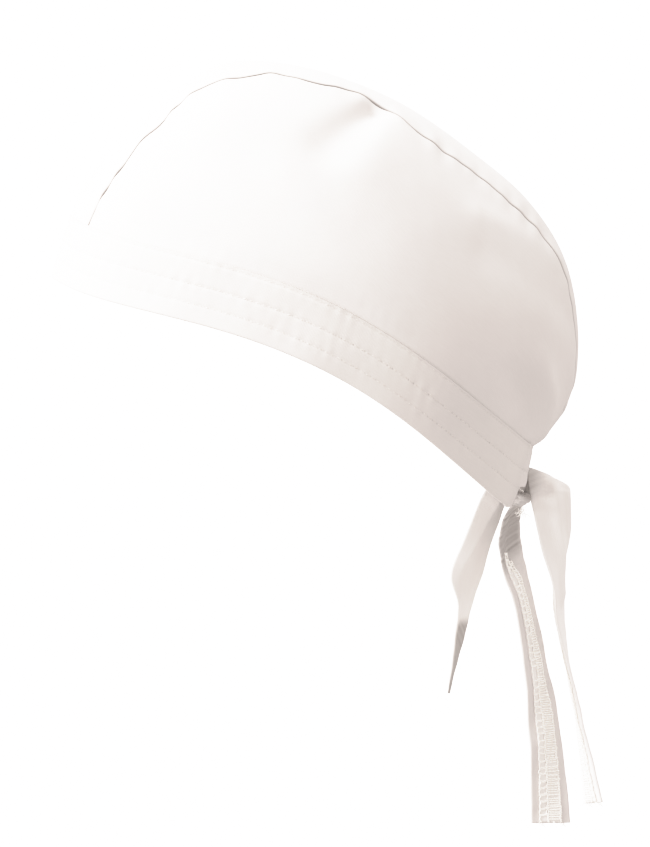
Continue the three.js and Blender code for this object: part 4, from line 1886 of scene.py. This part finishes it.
@dataclass
class Knot:
    """The tied lump and the wrap between the two ends of the band, with their folds."""

    material: Material
    rings: int = 90
    around: int = 110
    cloth_round: float = 34.0
    cloth_tall: float = 22.0
    boxiness: float = 0.75
    wrap_lean: float = 0.42
    tied_shear: float = 0.40

    def lump_rings(self, lump: Lump, fold: Callable[[Array, Array], Array]) -> Array:
        """Rings of a rounded lump about its height, with folds drawn over it.

        Args:
            lump: the lump's middle and half sizes.
            fold: lift in millimetres from the place up the lump (-1 to 1) and the angle.

        Returns:
            Rings by points round a ring by 3, in the rim frame.
        """
        polar = np.linspace(0.02, math.pi - 0.02, self.rings)[:, None]
        angle = np.linspace(0, 2 * math.pi, self.around, endpoint=False)[None]
        along = np.broadcast_to(-np.cos(polar), (self.rings, self.around))
        first, second = np.sin(polar) * np.cos(angle), np.sin(polar) * np.sin(angle)
        ball = xyz(first, second, along)
        squared = np.sign(ball) * np.abs(ball) ** self.boxiness
        shape = (ball + squared) / 2
        half = np.array(lump.half)
        outwards = unit(ball / half)
        middle = np.array(lump.centre) + shape * half
        if lump is WRAP_LUMP:
            middle[..., 1] += self.wrap_lean * (lump.centre[2] - middle[..., 2])
        else:
            middle[..., 2] += self.tied_shear * (middle[..., 1] - lump.centre[1])
        lift = fold(along, np.broadcast_to(angle, along.shape)) * np.sin(polar) ** 0.5
        return middle + outwards * lift[..., None]

    def painted_crevice_shade(self, rings: Array, lump: Lump) -> Array:
        """Painted shade of the knot, 0 to 1: over the lower part of the wrap, and over all the tied
        lump, most on its top and its front end.

        Args:
            rings: points of the lump.
            lump: the lump.

        Returns:
            Painted shade, 0 to 1.
        """
        height = (rings[..., 2] - lump.centre[2]) / lump.half[2]
        if lump is WRAP_LUMP:
            return 0.6 * smooth_step(-0.30, -0.60, height)
        forward = (rings[..., 1] - lump.centre[1]) / lump.half[1]
        top = 0.50 * smooth_step(-0.1, 0.9, height)
        return 0.12 + np.maximum(top, 0.40 * smooth_step(-0.1, -0.8, forward))

    def tied_folds(self, along: Array, angle: Array) -> Array:
        """Folds of the tied lump: they wind round it and tighten at its ends.

        Args:
            along: places up the lump, -1 to 1.
            angle: angles round it.

        Returns:
            Heights.
        """
        winding = 3.4 * along + 1.3 * angle
        deep = np.abs(np.sin(winding + 0.4)) ** 0.6
        fine = np.sin(15 * along + 3 * angle + 1.0)
        return -0.6 * (1 - deep) + 0.10 * fine

    def wrap_folds(self, along: Array, angle: Array) -> Array:
        """Folds of the wrap: they run down it, as gathered cloth does."""
        gather = np.sin(7 * angle + 1.2 * np.sin(3 * along)) + 0.5 * np.sin(12 * angle - 2 * along)
        return 0.35 * gather

    def build(self) -> None:
        """Makes both lumps."""
        angle = np.linspace(0, 1, self.around, endpoint=False)[None] * self.cloth_round
        along = np.linspace(0, 1, self.rings)[:, None] * self.cloth_tall
        flats = np.stack(np.broadcast_arrays(angle, along), axis=-1)
        for name, lump, fold, nodes in (
            ("knot_tied_cloth", TIED_LUMP, self.tied_folds, ["knot"]),
            ("knot_wrap_cloth", WRAP_LUMP, self.wrap_folds, []),
        ):
            rings = self.lump_rings(lump, fold)
            piece = tube(SHAPE.world(rings), flats, self.painted_crevice_shade(rings, lump)).object(name)
            finished(piece, self.material, nodes)


@dataclass
class FrayedThreads:
    """Loose thread ends under the knot and at the cut ends of the ties."""

    thread: Material
    seed: int = 71

    def tuft(
        self, root: Array, heading: Array, count: int, longest: float, spread: float
    ) -> ThreadLines:
        """Curly thread ends from one place.

        Args:
            root: where they come out, in world millimetres.
            heading: the direction that they leave in.
            count: how many.
            longest: the longest one's length in millimetres.
            spread: how far their roots and headings differ.

        Returns:
            Lines of points.
        """
        dice = np.random.default_rng(self.seed + count)
        made = []
        for _ in range(count):
            length = dice.uniform(0.45, 1.0) * longest
            line = [root + dice.normal(0, spread, 3)]
            direction = unit(heading + dice.normal(0, 0.5, 3))
            bend = dice.normal(0, 0.55, 3)
            for _ in range(10):
                direction = unit(direction + bend * 0.35 + dice.normal(0, 0.12, 3))
                direction = unit(direction + np.array([0.0, 0.0, -0.10]))
                line.append(line[-1] + direction * length / 10)
            made.append(np.array(line))
        return made

    def build(self, ties: Sequence[Ribbon]) -> Piece:
        """Makes all loose ends as one piece.

        Args:
            ties: the two ties.

        Returns:
            The object.
        """
        lines = []
        under = ties[0].start() + np.array([5.0, -0.6, -4.4])
        lines += self.tuft(under, np.array([0.2, 0.30, -1.0]), 16, 6.0, 0.9)
        for tie in ties:
            for share in (-0.5, 0.1, 0.55):
                end = tie.point(np.array(1.0), np.array(share), np.array(0.0))
                _, _, onwards = tie.axes(np.array(1.0))
                lines += self.tuft(end - onwards * 0.5, onwards, 4 + int(10 * abs(share)), 3.2, 0.6)
        piece = threads("loose_threads", lines, 0.13, 1)
        return finished(piece, self.thread)


# ---- Studio ----


@dataclass(frozen=True)
class Studio:
    """A white paper floor, soft light from above and the front, and a distant camera."""

    azimuth: float = 84.0
    elevation: float = 6.0
    lens: float = 500.0
    sensor: float = 36.0
    frame_height_mm: float = 355.74
    middle_u: float = 113.82
    middle_v: float = -61.53
    floor_drop: float = 0.30
    sky: float = 0.875
    front_light: float = 6.0
    top_light: float = 1.6
    response: tuple[tuple[float, float], ...] = (
        (0.0, 0.0), (0.60, 0.60), (0.80, 0.79), (1.00, 0.90), (1.25, 0.958), (1.60, 0.985),
        (2.20, 1.0),
    )

    def directions(self) -> tuple[Array, Array, Array]:
        """Right, up and towards the camera, as it looks at the hat.

        Returns:
            Three unit vectors.
        """
        a, e = math.radians(self.azimuth), math.radians(self.elevation)
        right = np.array([math.cos(a), math.sin(a), 0.0])
        back = np.array([math.sin(a) * math.cos(e), -math.cos(a) * math.cos(e), math.sin(e)])
        return right, np.cross(back, right), back

    def camera(self) -> None:
        """Places the camera so that the front end of the rim sits where it should."""
        right, up, back = self.directions()
        rim_front = SHAPE.world(SHAPE.rim(np.array(0.0)))
        u = right @ rim_front + self.middle_u
        v = up @ rim_front + self.middle_v
        target = right * u + up * v
        distance = self.frame_height_mm * self.lens / self.sensor
        data = bpy.data.cameras.new("camera")
        data.lens, data.sensor_width = self.lens, self.sensor
        data.clip_start, data.clip_end = 0.05, 200
        camera = linked("camera", data)
        camera.location = Vector(((target + back * distance) * MM).tolist())
        camera.rotation_mode = "QUATERNION"
        camera.rotation_quaternion = Vector((-back).tolist()).to_track_quat("-Z", "Y")
        bpy.context.scene.camera = camera

    def floor(self) -> None:
        """The paper floor, well below the ties."""
        deselect_all()
        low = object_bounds()[0]
        bpy.ops.mesh.primitive_plane_add(size=120.0, location=(0, 0, low.z - self.floor_drop))
        floor = bpy.context.active_object
        floor.name = "floor"
        floor.data.materials.append(StudioPaper().material())
        floor.visible_diffuse = floor.visible_glossy = floor.visible_shadow = False
        floor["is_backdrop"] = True

    def light(self) -> None:
        """A soft sky all round, a broad light from the front, and one from the far side above."""
        world = bpy.data.worlds.new("studio")
        world.use_nodes = True
        tree = world.node_tree
        tree.nodes.clear()
        warm = {"Color": (1.0, 0.936, 0.903, 1.0), "Strength": self.sky}
        add_node(tree, "OutputWorld", {"Surface": add_node(tree, "Background", warm).outputs[0]})
        bpy.context.scene.world = world
        self.lamp("front softbox", self.front_light, 55, (0.10, -0.80, 0.60))
        self.lamp("top softbox", self.top_light, 80, (-0.42, 0.12, 0.90))

    def lamp(self, name: str, strength: float, width: float, direction: tuple) -> None:
        """A very broad, even light.

        Args:
            name: the light's name.
            strength: its irradiance.
            width: how wide it looks from the hat, in degrees.
            direction: where it is, seen from the hat.
        """
        data = bpy.data.lights.new(name, "SUN")
        data.energy, data.angle = strength, math.radians(width)
        lamp = linked(name, data)
        lamp.rotation_mode = "QUATERNION"
        lamp.rotation_quaternion = Vector(direction).to_track_quat("Z", "Y")

    def film(self) -> None:
        """A film-like response: middle tones stay true, and the brightest roll off softly."""
        settings = bpy.context.scene.view_settings
        settings.view_transform = "Standard"
        settings.look = "None"
        settings.use_curve_mapping = True
        mapping = settings.curve_mapping
        mapping.clip_max_x = self.response[-1][0]
        tone = mapping.curves[3]
        while len(tone.points) < len(self.response):
            tone.points.new(1.0, 1.0)
        for point, (scene, shown) in zip(tone.points, self.response):
            point.location = (scene, shown)
        mapping.update()

    def build(self) -> None:
        """Makes the camera, the floor and the light, and sets a plain view of the colours."""
        self.camera()
        self.floor()
        self.light()
        self.film()


def main() -> None:
    """Builds the hat piece by piece, then the studio."""
    logging.basicConfig(level=logging.INFO, format="%(message)s")
    crown_cloth = CottonPoplin().material()
    thread = SpunThread().material()
    # a darker copy of the thread with no painted glow, so that the band's stitches show faint
    fine_thread = SpunThread(
        name="spun polyester thread, pulled tight in a lockstitch",
        colour="#EFECE8",
        shade="#DAD4CD",
        painted_glow=0.0,
    ).material()
    band = Headband(material=crown_cloth, thread=fine_thread)
    # each row of the band gets painted shade at its needle holes
    rows = tuple(
        SeamRow(BAND_HEIGHT - below, band.stitch_pitch, strength)
        for below, strength in zip(band.rows_below_top, band.row_hole_shade)
    )
    band_cloth = CottonPoplin(
        name="bleached cotton poplin, folded and stitched", colour="#E6E3E0", rows=rows
    ).material()
    tie_cloth = CottonPoplin(
        name="bleached cotton poplin, pressed in a narrow tube", crumple_mm=9.0
    ).material()
    # a lighter copy of the cloth: painted light that makes the right tie, the tail and the
    # overlocked raw edges read brighter, standing for light shining through thin cloth
    painted_light_cloth = CottonPoplin(
        name="bleached cotton poplin, painted lighter",
        colour="#FAF8F6",
        shade="#F3F0EE",
        crumple_mm=9.0,
    ).material()
    band.material = band_cloth
    Crown(material=crown_cloth).build()
    band.build()
    Knot(material=tie_cloth).build()
    # the left tie has painted shade near the knot
    left = Ribbon(
        "tie_left_cloth", TIE_LEFT, tie_cloth, "band_cotton", "tie_left", (0.0172, 0.139),
        pleats=(Pleat(0.0, 0.45, -1.6, 2, 34), Pleat(0.75, 0.16, 0.7, 4, 26)),
        knot_wrinkle=0.38, painted_roll_shade=0.56, painted_shade_mm=(3.0, 27.0),
    )
    # the right tie has painted shade along one edge near the knot
    right = Ribbon(
        "tie_right_cloth", TIE_RIGHT, painted_light_cloth, "band_cotton", "tie_right", (0.0172, 0.156),
        ripple_seed=54, hump=1.0, painted_roll_shade=0.60, painted_shade_mm=(-4.0, 20.0),
        painted_shade_share=(0.0, -0.95), painted_shade_streak=0.10,
        pleats=(Pleat(0.25, 0.38, 2.4, 15, 72), Pleat(0.62, 0.16, -0.5, 12, 50)),
    )
    # the tail has painted shade over its lower end, darkening its tip
    tail = Ribbon(
        "back_tail_cloth", BACK_TAIL, painted_light_cloth, "crown_cotton", "back_tail", (0.0174, 0.105),
        wall=1.0, ripple_seed=57, keel=-3.0, keel_share=(-0.5, 1.3), keel_until=0.72,
        painted_roll_shade=0.80, painted_shade_mm=(74.0, 130.0), painted_shade_streak=0.05,
    )
    # the overlocked raw edges use the lighter, painted-light copy of the cloth
    for ribbon, face in ((left, 1.0), (right, -1.0)):
        cloth = ribbon.build()
        seam = OverlockedSeam(ribbon, face, thread, painted_light_cloth).build()
    tail.build()
    FrayedThreads(thread).build([left, right])
    Studio().build()


if __name__ == "__main__":
    main()
